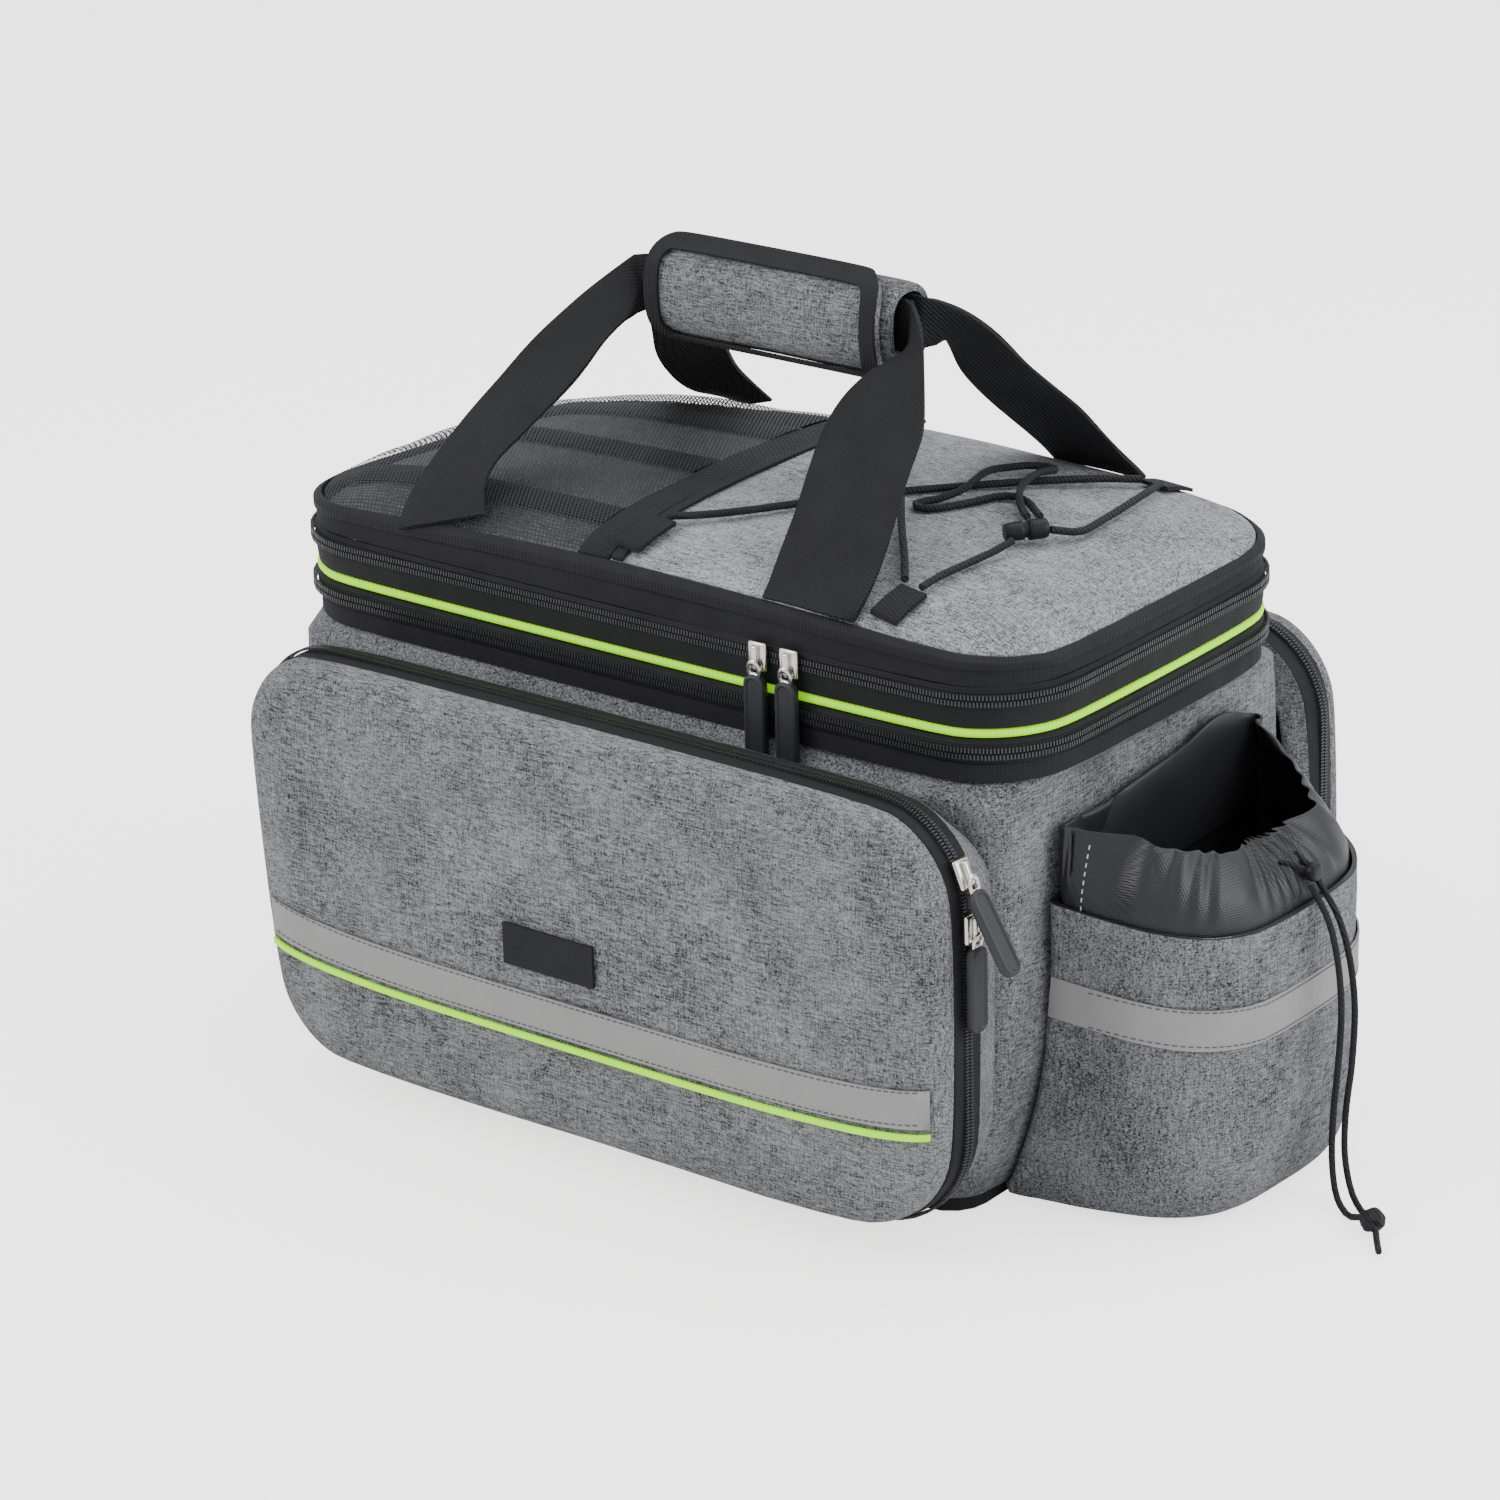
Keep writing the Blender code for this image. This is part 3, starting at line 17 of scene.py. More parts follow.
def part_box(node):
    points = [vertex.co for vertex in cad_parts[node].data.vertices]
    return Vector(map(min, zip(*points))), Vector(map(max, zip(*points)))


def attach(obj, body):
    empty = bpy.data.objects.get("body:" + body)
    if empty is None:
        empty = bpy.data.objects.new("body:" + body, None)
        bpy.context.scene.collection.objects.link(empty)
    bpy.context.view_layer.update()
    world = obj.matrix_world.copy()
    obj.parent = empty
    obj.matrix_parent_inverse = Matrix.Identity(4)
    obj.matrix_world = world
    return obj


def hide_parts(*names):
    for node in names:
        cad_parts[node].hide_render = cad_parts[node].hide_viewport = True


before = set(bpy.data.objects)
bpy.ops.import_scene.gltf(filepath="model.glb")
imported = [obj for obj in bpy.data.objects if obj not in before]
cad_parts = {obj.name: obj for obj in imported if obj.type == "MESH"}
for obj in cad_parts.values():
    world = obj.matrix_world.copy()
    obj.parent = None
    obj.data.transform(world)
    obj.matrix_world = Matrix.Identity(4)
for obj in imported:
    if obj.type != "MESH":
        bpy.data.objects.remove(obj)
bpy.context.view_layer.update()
MM = 0.001
print("nodes", len(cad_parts))

# %% [markdown]
# The camera stands a little above the bag and looks at its rear left corner from far off with a
# long lens, so that the lid's long edges stay almost parallel. Its place is given by two angles,
# a distance and a small tilt, because those can be read from a picture of a box.

# %% Camera
AZIMUTH = math.radians(38.19)
ELEVATION = math.radians(21.74)
ROLL = math.radians(-1.63)
DISTANCE = 2172.8 * MM
LENS = 131.25
AIM = Vector((0, 0, 126 * MM))
AIM_RIGHT = -14.57 * MM
AIM_UP = 0.68 * MM

away = Vector((math.sin(AZIMUTH) * math.cos(ELEVATION),
               -math.cos(AZIMUTH) * math.cos(ELEVATION), math.sin(ELEVATION)))
level_right = Vector((math.cos(AZIMUTH), math.sin(AZIMUTH), 0))
level_up = away.cross(level_right)
picture_right = level_right * math.cos(ROLL) + level_up * math.sin(ROLL)
picture_up = level_up * math.cos(ROLL) - level_right * math.sin(ROLL)
place = AIM + picture_right * AIM_RIGHT + picture_up * AIM_UP + away * DISTANCE

lens = bpy.data.cameras.new("camera")
lens.lens = LENS
lens.sensor_width = 36
camera = bpy.data.objects.new("camera", lens)
camera.matrix_world = Matrix.Translation(place) @ Matrix(
    (picture_right, picture_up, away)).transposed().to_4x4()
bpy.context.scene.collection.objects.link(camera)
bpy.context.scene.camera = camera
print("camera", [round(v, 3) for v in place])

# %% [markdown]
# Every finish is made from a few shared effects. Melange cloth mixes light and dark threads, so
# its group stretches a noise along the thread. Ribs are a plain wave along one direction, for
# webbing, tape and cords. Unevenness is a slow, weak noise that keeps large surfaces alive.

# %% Shader groups
def new_group(name, inputs, outputs):
    """An empty node group with float, colour or vector sockets."""
    group = bpy.data.node_groups.new(name, "ShaderNodeTree")
    for label, kind, value in inputs:
        socket = group.interface.new_socket(label, in_out="INPUT", socket_type=kind)
        if value is not None:
            socket.default_value = value
    for label, kind in outputs:
        group.interface.new_socket(label, in_out="OUTPUT", socket_type=kind)
    start = group.nodes.new("NodeGroupInput")
    end = group.nodes.new("NodeGroupOutput")
    return group, start, end


def add_node(tree, kind, settings=(), **inputs):
    """A node with some of its settings and input values."""
    node = tree.nodes.new(kind)
    for key, value in dict(settings).items():
        setattr(node, key, value)
    for key, value in inputs.items():
        node.inputs[key.replace("_", " ")].default_value = value
    return node


def math_node(tree, operation, first, second=None):
    """A math node that reads sockets or plain numbers."""
    node = tree.nodes.new("ShaderNodeMath")
    node.operation = operation
    for index, value in enumerate((first, second)):
        if value is None:
            continue
        if isinstance(value, (int, float)):
            node.inputs[index].default_value = value
        else:
            tree.links.new(value, node.inputs[index])
    return node.outputs[0]


FLOAT, COLOUR, VECTOR = "NodeSocketFloat", "NodeSocketColor", "NodeSocketVector"


def melange_group():
    """Fine grain, streaks along both threads, and a slow change over the cloth."""
    group, start, end = new_group("melange", [
        ("Vector", VECTOR, None), ("Weft", VECTOR, (190, 900, 1500)),
        ("Warp", VECTOR, (1500, 900, 190)),
        ("Light", COLOUR, (0.4, 0.4, 0.4, 1)), ("Dark", COLOUR, (0.1, 0.1, 0.1, 1))],
        [("Color", COLOUR), ("Height", FLOAT)])
    links = group.links
    parts = []
    for label, weight in (("Weft", 0.50), ("Warp", 0.30)):
        scaled = add_node(group, "ShaderNodeVectorMath", {"operation": "MULTIPLY"})
        links.new(start.outputs["Vector"], scaled.inputs[0])
        links.new(start.outputs[label], scaled.inputs[1])
        streak = add_node(group, "ShaderNodeTexNoise", Scale=1.0, Detail=2.0, Roughness=0.6)
        links.new(scaled.outputs[0], streak.inputs["Vector"])
        parts.append(math_node(group, "MULTIPLY", streak.outputs["Fac"], weight))
    for size, weight in ((1500.0, 0.62), (28.0, 0.22)):
        grain = add_node(group, "ShaderNodeTexNoise", Scale=size, Detail=2.0, Roughness=0.6)
        links.new(start.outputs["Vector"], grain.inputs["Vector"])
        parts.append(math_node(group, "MULTIPLY", grain.outputs["Fac"], weight))
    total = parts[0]
    for part in parts[1:]:
        total = math_node(group, "ADD", total, part)
    spread = add_node(group, "ShaderNodeMapRange", From_Min=0.66, From_Max=0.98)
    links.new(total, spread.inputs["Value"])
    mix = add_node(group, "ShaderNodeMix", {"data_type": "RGBA"})
    links.new(spread.outputs[0], mix.inputs["Factor"])
    links.new(start.outputs["Dark"], mix.inputs[6])
    links.new(start.outputs["Light"], mix.inputs[7])
    links.new(mix.outputs[2], end.inputs["Color"])
    links.new(spread.outputs[0], end.inputs["Height"])
    return group


def ribs_group():
    """Ribs along one direction, with a cross rib that makes it a weave."""
    group, start, end = new_group("ribs", [
        ("Vector", VECTOR, None), ("Along", VECTOR, (0, 0, 1000)),
        ("Across", VECTOR, (1000, 0, 0)), ("Cross", FLOAT, 0.3)], [("Height", FLOAT)])
    waves = []
    for label in ("Along", "Across"):
        dot = add_node(group, "ShaderNodeVectorMath", {"operation": "DOT_PRODUCT"})
        group.links.new(start.outputs["Vector"], dot.inputs[0])
        group.links.new(start.outputs[label], dot.inputs[1])
        turns = math_node(group, "MULTIPLY", dot.outputs["Value"], math.tau)
        waves.append(math_node(group, "SINE", turns))
    weak = math_node(group, "MULTIPLY", waves[1], start.outputs["Cross"])
    both = math_node(group, "ADD", waves[0], weak)
    half = math_node(group, "MULTIPLY", both, 0.5)
    group.links.new(math_node(group, "ADD", half, 0.5), end.inputs["Height"])
    return group


def uneven_group():
    """Slow patches that lighten and darken a colour and change its roughness a little."""
    group, start, end = new_group("uneven", [
        ("Vector", VECTOR, None), ("Color", COLOUR, (0.5, 0.5, 0.5, 1)),
        ("Rough", FLOAT, 0.7), ("Scale", FLOAT, 60.0), ("Amount", FLOAT, 0.2)],
        [("Color", COLOUR), ("Roughness", FLOAT)])
    patch = add_node(group, "ShaderNodeTexNoise", Detail=4.0, Roughness=0.6)
    group.links.new(start.outputs["Vector"], patch.inputs["Vector"])
    group.links.new(start.outputs["Scale"], patch.inputs["Scale"])
    centred = math_node(group, "SUBTRACT", patch.outputs["Fac"], 0.5)
    swing = math_node(group, "MULTIPLY", centred, start.outputs["Amount"])
    gain = math_node(group, "ADD", math_node(group, "MULTIPLY", swing, 2.0), 1.0)
    scaled = add_node(group, "ShaderNodeVectorMath", {"operation": "SCALE"})
    group.links.new(start.outputs["Color"], scaled.inputs[0])
    group.links.new(gain, scaled.inputs["Scale"])
    group.links.new(scaled.outputs[0], end.inputs["Color"])
    group.links.new(math_node(group, "SUBTRACT", start.outputs["Rough"], swing),
                    end.inputs["Roughness"])
    return group


MELANGE, RIBS, UNEVEN = melange_group(), ribs_group(), uneven_group()
print("groups", MELANGE.name, RIBS.name, UNEVEN.name)


# %% Materials
def base_material(name, roughness, metallic=0.0, sheen=0.0, specular=0.25):
    """A Principled material with an Object coordinate node to build on."""
    made = bpy.data.materials.new(name)
    made.use_nodes = True
    tree = made.node_tree
    shader = tree.nodes["Principled BSDF"]
    shader.inputs["Roughness"].default_value = roughness
    shader.inputs["Metallic"].default_value = metallic
    shader.inputs["Sheen Weight"].default_value = sheen
    shader.inputs["Specular IOR Level"].default_value = specular
    where = tree.nodes.new("ShaderNodeTexCoord").outputs["Object"]
    return made, tree, shader, where


def add_bump(tree, shader, height, depth, strength=1.0):
    """Bump of one height, in metres, on a shader."""
    bump = add_node(tree, "ShaderNodeBump", Strength=strength, Distance=depth)
    tree.links.new(height, bump.inputs["Height"])
    tree.links.new(bump.outputs["Normal"], shader.inputs["Normal"])


def melange_material(name, weft, warp, light, dark):
    """Gray cloth of mixed threads that run in two directions."""
    made, tree, shader, where = base_material(name, 0.92, sheen=0.03, specular=0.2)
    cloth = tree.nodes.new("ShaderNodeGroup")
    cloth.node_tree = MELANGE
    cloth.inputs["Weft"].default_value = weft
    cloth.inputs["Warp"].default_value = warp
    cloth.inputs["Light"].default_value = (*light, 1)
    cloth.inputs["Dark"].default_value = (*dark, 1)
    tree.links.new(where, cloth.inputs["Vector"])
    tree.links.new(cloth.outputs["Color"], shader.inputs["Base Color"])
    add_bump(tree, shader, cloth.outputs["Height"], 0.2 * MM, 0.6)
    return made


def ribbed_material(name, colour, roughness, along, across=(0, 0, 0), cross=0.3, depth=0.2 * MM,
                    sheen=0.02, metallic=0.0, amount=0.25, specular=0.18):
    """Woven tape or webbing: ribs along one direction over an uneven colour."""
    made, tree, shader, where = base_material(name, roughness, metallic, sheen, specular)
    uneven = tree.nodes.new("ShaderNodeGroup")
    uneven.node_tree = UNEVEN
    uneven.inputs["Color"].default_value = (*colour, 1)
    uneven.inputs["Rough"].default_value = roughness
    uneven.inputs["Amount"].default_value = amount
    tree.links.new(where, uneven.inputs["Vector"])
    tree.links.new(uneven.outputs["Color"], shader.inputs["Base Color"])
    tree.links.new(uneven.outputs["Roughness"], shader.inputs["Roughness"])
    ribs = tree.nodes.new("ShaderNodeGroup")
    ribs.node_tree = RIBS
    ribs.inputs["Along"].default_value = along
    ribs.inputs["Across"].default_value = across
    ribs.inputs["Cross"].default_value = cross
    tree.links.new(where, ribs.inputs["Vector"])
    add_bump(tree, shader, ribs.outputs["Height"], depth)
    return made


ALONG, ACROSS = 190, 1500
# The side, end and lid copies are one melange cloth with threads in different directions. The lid's
# copy is painted lighter, as painted light falling on the top of the bag, and the end copy is a
# little darker than the side copy.
GRAY_SIDE = melange_material("gray_cloth_side", (ALONG, 900, ACROSS), (ACROSS, 900, ALONG),
                             (0.290, 0.294, 0.300), (0.020, 0.020, 0.022))
GRAY_END = melange_material("gray_cloth_end", (900, ALONG, ACROSS), (900, ACROSS, ALONG),
                            (0.270, 0.275, 0.282), (0.015, 0.015, 0.017))
GRAY_LINING = melange_material("gray_lining", (ALONG, ACROSS, 900), (ACROSS, ALONG, 900),
                               (0.330, 0.335, 0.350), (0.060, 0.062, 0.066))
GRAY_LID_PAINTED_LIGHT = melange_material("gray_cloth_lid_painted_light", (ALONG, ACROSS, 900), (ACROSS, ALONG, 900),
                            (0.420, 0.427, 0.440), (0.050, 0.052, 0.057))
FINE = 900
TAPE = ribbed_material("black_tape", (0.014, 0.014, 0.015), 0.68, (0, 0, FINE), (FINE, FINE, 0),
                       depth=0.12 * MM)
CLOTH = ribbed_material("black_cloth", (0.017, 0.017, 0.019), 0.8, (FINE, 0, 0), (0, FINE, FINE),
                        cross=0.8, depth=0.1 * MM)
WEBBING = ribbed_material("black_webbing", (0.015, 0.015, 0.016), 0.72, (350, 420, 520),
                          (-350, 420, 520), cross=0.6, depth=0.3 * MM)
BINDING = ribbed_material("black_binding", (0.014, 0.014, 0.015), 0.66, (620, 500, 0),
                          (0, 0, FINE), depth=0.18 * MM)
NYLON = ribbed_material("black_nylon", (0.014, 0.014, 0.016), 0.36, (0, 0, 1100), (0, 1100, 0),
                        cross=1.0, depth=0.05 * MM, sheen=0.0, specular=0.45)
CORD = ribbed_material("black_cord", (0.017, 0.017, 0.019), 0.6, (420, 420, 420),
                       (-420, 420, -420), cross=1.0, depth=0.3 * MM)
LIME = ribbed_material("lime_piping", (0.42, 1.0, 0.008), 0.45, (420, 420, 0), depth=0.15 * MM,
                       sheen=0.0, amount=0.08)
# Painted glow: the lime piping gets a weak emission, so it shines brighter than the lamps alone
# make it.
glow = LIME.node_tree.nodes["Principled BSDF"]
glow.inputs["Emission Color"].default_value = (0.40, 1.0, 0.0, 1)
glow.inputs["Emission Strength"].default_value = 0.35
REFLECTIVE = ribbed_material("reflective_tape", (0.30, 0.295, 0.29), 0.42, (0, 0, 1300),
                             (1300, 1300, 0), cross=1.0, depth=0.06 * MM, sheen=0.0,
                             metallic=0.35, amount=0.10)
METAL = ribbed_material("slider_metal", (0.74, 0.71, 0.66), 0.22, (60, 0, 0), depth=0.01 * MM,
                        sheen=0.0, metallic=1.0, amount=0.06, specular=0.5)
RUBBER = ribbed_material("puller_rubber", (0.024, 0.025, 0.028), 0.45, (0, 0, 1400),
                         (1400, 1400, 0), cross=1.0, depth=0.03 * MM, sheen=0.0, specular=0.4)
COIL = ribbed_material("zip_coil", (0.030, 0.030, 0.033), 0.35, (0, 0, 1400), depth=0.02 * MM,
                       sheen=0.0, specular=0.5)
PLASTIC = ribbed_material("lock_plastic", (0.013, 0.013, 0.014), 0.35, (500, 500, 0),
                          depth=0.02 * MM, sheen=0.0)
STITCH = ribbed_material("gray_thread", (0.10, 0.10, 0.105), 0.7, (1500, 1500, 1500),
                         depth=0.05 * MM)
WHITE_STITCH = ribbed_material("white_thread", (0.55, 0.55, 0.54), 0.7, (1500, 1500, 1500),
                               depth=0.05 * MM)


def net_material():
    """Black net of round cells about a millimetre wide, open between its threads."""
    made, tree, shader, where = base_material("lid_net", 0.55, specular=0.3)
    shader.inputs["Base Color"].default_value = (0.022, 0.022, 0.024, 1)
    waves = []
    for direction in ((540, 312, 0), (540, -312, 0), (0, 624, 0)):
        dot = add_node(tree, "ShaderNodeVectorMath", {"operation": "DOT_PRODUCT"})
        tree.links.new(where, dot.inputs[0])
        dot.inputs[1].default_value = direction
        turns = math_node(tree, "MULTIPLY", dot.outputs["Value"], math.tau)
        waves.append(math_node(tree, "COSINE", turns))
    total = math_node(tree, "ADD", math_node(tree, "ADD", waves[0], waves[1]), waves[2])
    solid = add_node(tree, "ShaderNodeMapRange", From_Min=0.30, From_Max=-0.20)
    tree.links.new(total, solid.inputs["Value"])
    tree.links.new(solid.outputs[0], shader.inputs["Alpha"])
    add_bump(tree, shader, solid.outputs[0], 0.3 * MM)
    return made


NET = net_material()
print("materials", len(bpy.data.materials))

# %% [markdown]
# The cords come first among the pieces. The drawstring leaves the toggle on the collar, hangs
# down the bottle pocket in two strands, and its knot and tail lie on the floor. The elastic cord
# crosses the lid, and its slack lies in a loop beside the lock. Each is a round curve on a few
# chosen points, because a real cord has no corners.

# %% Cord routes
BUNGEE_DIAMETER = 3 * MM
DRAWSTRING_DIAMETER = 2.6 * MM
CORD_SPACING = 1.6


def smooth_route(points, spacing):
    """Points at about an equal spacing along a smooth curve through the given points."""
    anchors = [Vector(point) for point in points]
    ends = [anchors[0] * 2 - anchors[1]] + anchors + [anchors[-1] * 2 - anchors[-2]]
    fine = []
    for before, start, stop, after in zip(ends, ends[1:], ends[2:], ends[3:]):
        for step in range(12):
            t = step / 12
            fine.append(0.5 * (2 * start + (stop - before) * t
                               + (2 * before - 5 * start + 4 * stop - after) * t ** 2
                               + (3 * start - before - 3 * stop + after) * t ** 3))
    fine.append(anchors[-1])
    return even_steps(fine, spacing)


def even_steps(fine, spacing):
    """The same line with its points at about an equal spacing."""
    length = sum((b - a).length for a, b in zip(fine, fine[1:]))
    count = max(2, round(length / spacing))
    route, walked, index = [fine[0]], 0.0, 0
    for number in range(1, count):
        target = length * number / count
        while walked + (fine[index + 1] - fine[index]).length < target:
            walked += (fine[index + 1] - fine[index]).length
            index += 1
        piece = (fine[index + 1] - fine[index]).length
        route.append(fine[index].lerp(fine[index + 1], (target - walked) / piece))
    return route + [fine[-1]]


def route_length(route):
    """Length of a line of points."""
    return sum((b - a).length for a, b in zip(route, route[1:]))


def cord_piece(name, route, diameter, look, node=None):
    """A round cord on a route, as a bevelled curve that can stand for a solid."""
    data = bpy.data.curves.new(name, "CURVE")
    data.dimensions = "3D"
    spline = data.splines.new("POLY")
    spline.points.add(len(route) - 1)
    for point, spot in zip(spline.points, route):
        point.co = (*spot, 1.0)
    spline.use_smooth = True
    data.bevel_depth = diameter / 2
    data.bevel_resolution = 3
    data.use_fill_caps = True
    data.materials.append(look)
    made = bpy.data.objects.new(name, data)
    bpy.context.scene.collection.objects.link(made)
    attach(made, "root")
    if node:
        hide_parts(node)
    return made


DRAWSTRINGS = {
    "drawstring_near": [
        (0.2440, 0.0010, 0.1268), (0.2520, 0.0010, 0.1140), (0.2560, 0.0015, 0.0980),
        (0.2575, 0.0020, 0.0780), (0.2565, 0.0020, 0.0560), (0.2550, 0.0015, 0.0360),
        (0.2555, 0.0000, 0.0180), (0.2590, -0.0030, 0.0060), (0.2650, -0.0075, 0.0020),
        (0.2715, -0.0112, 0.0018), (0.2784, -0.0130, 0.0050)],
    "drawstring_far": [
        (0.2440, 0.0060, 0.1268), (0.2525, 0.0065, 0.1145), (0.2575, 0.0070, 0.0990),
        (0.2600, 0.0075, 0.0790), (0.2595, 0.0070, 0.0560), (0.2575, 0.0065, 0.0360),
        (0.2580, 0.0050, 0.0190), (0.2625, 0.0020, 0.0065), (0.2690, -0.0025, 0.0020),
        (0.2745, -0.0062, 0.0018), (0.2805, -0.0109, 0.0050)],
}
TAIL = [(0.2865, -0.0190, 0.0048), (0.2900, -0.0235, 0.0022), (0.2945, -0.0295, 0.0016)]
strands = {}
for name, points in DRAWSTRINGS.items():
    route = smooth_route(points, DRAWSTRING_DIAMETER * CORD_SPACING)
    strands[name] = (cord_piece(name + "_braid", route, DRAWSTRING_DIAMETER, CORD, name), route)
    print(name, round(route_length(route), 4))
tail_route = smooth_route(TAIL, DRAWSTRING_DIAMETER)
tail = cord_piece("drawstring_tail_braid", tail_route, DRAWSTRING_DIAMETER, CORD,
                  "drawstring_tail")

# %% [markdown]
# The lid is a soft pillow inside a stiff rim, and the whole soft box has sunk a little towards
# its far front corner. Both are known as formulas, so that cords, stitches and zip teeth can be
# laid on the surface instead of being placed one by one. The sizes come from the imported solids.

# %% The lid's surface
BINDING_LOW, BINDING_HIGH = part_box("lid_binding")
SHEET_LOW, SHEET_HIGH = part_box("lid_panel")
BODY_LOW, BODY_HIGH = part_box("body_shell")
LID_HALF_X, LID_HALF_Y = SHEET_HIGH.x, SHEET_HIGH.y
LID_CORNER = 38.5 * MM
RIM_TOP = 226.7 * MM
RIM_BOW = 7.5 * MM
LID_TOP = RIM_TOP + 18.5 * MM
RIM_HALF_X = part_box("lid_band")[1].x
RIM_HALF_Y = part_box("lid_band")[1].y
FAR_DIP = 11 * MM
DIP_START = 86.5 * MM
DIP_END = 314 * MM
DIP_FADE = 80.5 * MM


def clamp(value):
    """A value kept between 0 and 1."""
    return min(1.0, max(0.0, value))


def settled(point):
    """A point after the soft box has sunk towards its far front top corner."""
    x, y, z = point
    forward = clamp(-x / RIM_HALF_X)
    across = clamp(0.3 + 0.7 * y / RIM_HALF_Y)
    level = clamp((z - DIP_START) / DIP_START) * clamp((DIP_END - z) / DIP_FADE)
    return Vector((x, y, z - FAR_DIP * forward * across * level))


def half_width(x):
    """Half the pillow's width at a place along it: its corners are round."""
    past = abs(x) - (LID_HALF_X - LID_CORNER)
    if past <= 0:
        return LID_HALF_Y
    return LID_HALF_Y + math.sqrt(max(0.0, LID_CORNER ** 2 - past ** 2)) - LID_CORNER


def lid_height(x, y):
    """Height of the pillow, before the box has sunk."""
    along = clamp(abs(x) / LID_HALF_X)
    across = clamp(abs(y) / half_width(x))
    edge = RIM_TOP + RIM_BOW * (1 - (x / RIM_HALF_X) ** 2)
    fullness = (1 - along ** 6) ** 0.7 * (1 - across ** 4) ** 0.8
    return edge + (LID_TOP - edge) * fullness


def on_lid(x, y, lift):
    """A point above the lid's surface."""
    return settled((x, y, lid_height(x, y) + lift))


print("lid", round(LID_HALF_X, 4), round(LID_HALF_Y, 4))

# %% Elastic cord on the lid
LID_CORDS = {
    "bungee_diagonal": [
        (0.0005, -0.0705, 0.0020), (0.012, -0.062, 0.0012), (0.023, -0.050, 0.0006),
        (0.040, -0.027, 0.0004), (0.061, 0.000, 0.0004), (0.080, 0.021, 0.0004),
        (0.098, 0.041, 0.0004), (0.112, 0.057, 0.0006), (0.1225, 0.0695, 0.0010)],
    "bungee_counter": [
        (0.1130, -0.0722, 0.0012), (0.101, -0.056, 0.0006), (0.086, -0.037, 0.0010),
        (0.074, -0.021, 0.0024), (0.060, -0.002, 0.0040), (0.046, 0.016, 0.0022),
        (0.030, 0.035, 0.0006), (0.014, 0.054, 0.0010), (0.0015, 0.0705, 0.0020)],
    "bungee_rear_near": [
        (0.1215, -0.0735, 0.0008), (0.122, -0.062, 0.0000), (0.124, -0.046, -0.0004),
        (0.127, -0.034, 0.0010), (0.1285, -0.0255, 0.0026)],
    "bungee_rear_far": [
        (0.1334, -0.0075, 0.0030), (0.1395, 0.003, 0.0010), (0.1385, 0.020, 0.0004),
        (0.1365, 0.040, 0.0004), (0.1340, 0.056, 0.0006), (0.1310, 0.0695, 0.0010)],
    "bungee_slack": [
        (0.1195, -0.0030, 0.0030), (0.1120, 0.0045, 0.0022), (0.1040, 0.014, 0.0036),
        (0.0985, 0.026, 0.0040), (0.0975, 0.038, 0.0046), (0.0975, 0.047, 0.0030),
        (0.0920, 0.053, 0.0016), (0.0840, 0.051, 0.0014), (0.0795, 0.042, 0.0018),
        (0.0790, 0.031, 0.0036), (0.0810, 0.020, 0.0044), (0.0815, 0.009, 0.0024),
        (0.0770, -0.001, 0.0006), (0.0730, -0.008, 0.0006), (0.0750, -0.0135, 0.0006),
        (0.0810, -0.012, 0.0006), (0.0865, -0.004, 0.0006), (0.0905, 0.006, 0.0004),
        (0.0935, 0.014, 0.0004), (0.0995, 0.0185, 0.0004), (0.1065, 0.016, 0.0004),
        (0.1145, 0.0085, 0.0018), (0.1230, 0.0005, 0.0030)],
}
for name, points in LID_CORDS.items():
    placed = [on_lid(x, y, lift + BUNGEE_DIAMETER / 2) for x, y, lift in points]
    route = smooth_route(placed, BUNGEE_DIAMETER * CORD_SPACING)
    strands[name] = (cord_piece(name + "_braid", route, BUNGEE_DIAMETER, CORD, name), route)
    print(name, round(route_length(route), 4))

# %% [markdown]
# The large soft pieces start as a copy of their solid. Its triangles are merged and joined to
# quads, its hard edges are creased so that they stay where they are, and a subdivision gives
# enough points for the slow dents and small wrinkles that cloth over foam has. A noise moves
# each point along its normal, which keeps the shape and its place.

# %% Dressing a solid
def cad_copy(*nodes):
    """A merged bmesh of some solids, with their triangles joined to quads."""
    mesh = bmesh.new()
    for node in nodes:
        mesh.from_mesh(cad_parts[node].data)
    bmesh.ops.remove_doubles(mesh, verts=mesh.verts, dist=1e-5)
    bmesh.ops.join_triangles(mesh, faces=mesh.faces, angle_face_threshold=0.7,
                             angle_shape_threshold=3.1)
    return mesh


def crease_hard_edges(mesh, degrees=35, value=1.0):
    """Crease the edges that turn sharply, so that a subdivision keeps them."""
    layer = mesh.edges.layers.float.get("crease_edge") or mesh.edges.layers.float.new("crease_edge")
    for edge in mesh.edges:
        if len(edge.link_faces) == 2 and edge.calc_face_angle(0) > math.radians(degrees):
            edge[layer] = value


def new_piece(name, mesh, look, slot, *nodes, sharp=40):
    """A finished object from a bmesh, on the body, standing for its solids."""
    data = bpy.data.meshes.new(name)
    mesh.to_mesh(data)
    mesh.free()
    data.materials.append(look)
    data.shade_smooth()
    data.set_sharp_from_angle(angle=math.radians(sharp))
    made = bpy.data.objects.new(name, data)
    bpy.context.scene.collection.objects.link(made)
    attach(made, "root")
    if nodes:
        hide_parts(*nodes)
    return made


def subdivided(mesh, levels):
    """The mesh after a subdivision that keeps its creases."""
    data = bpy.data.meshes.new("working_mesh")
    mesh.to_mesh(data)
    mesh.free()
    work = bpy.data.objects.new("working_piece", data)
    bpy.context.scene.collection.objects.link(work)
    modifier = work.modifiers.new("cloth", "SUBSURF")
    modifier.levels = modifier.render_levels = levels
    ready = work.evaluated_get(bpy.context.evaluated_depsgraph_get()).to_mesh()
    fine = bmesh.new()
    fine.from_mesh(ready)
    bpy.data.objects.remove(work)
    bpy.data.meshes.remove(data)
    return fine


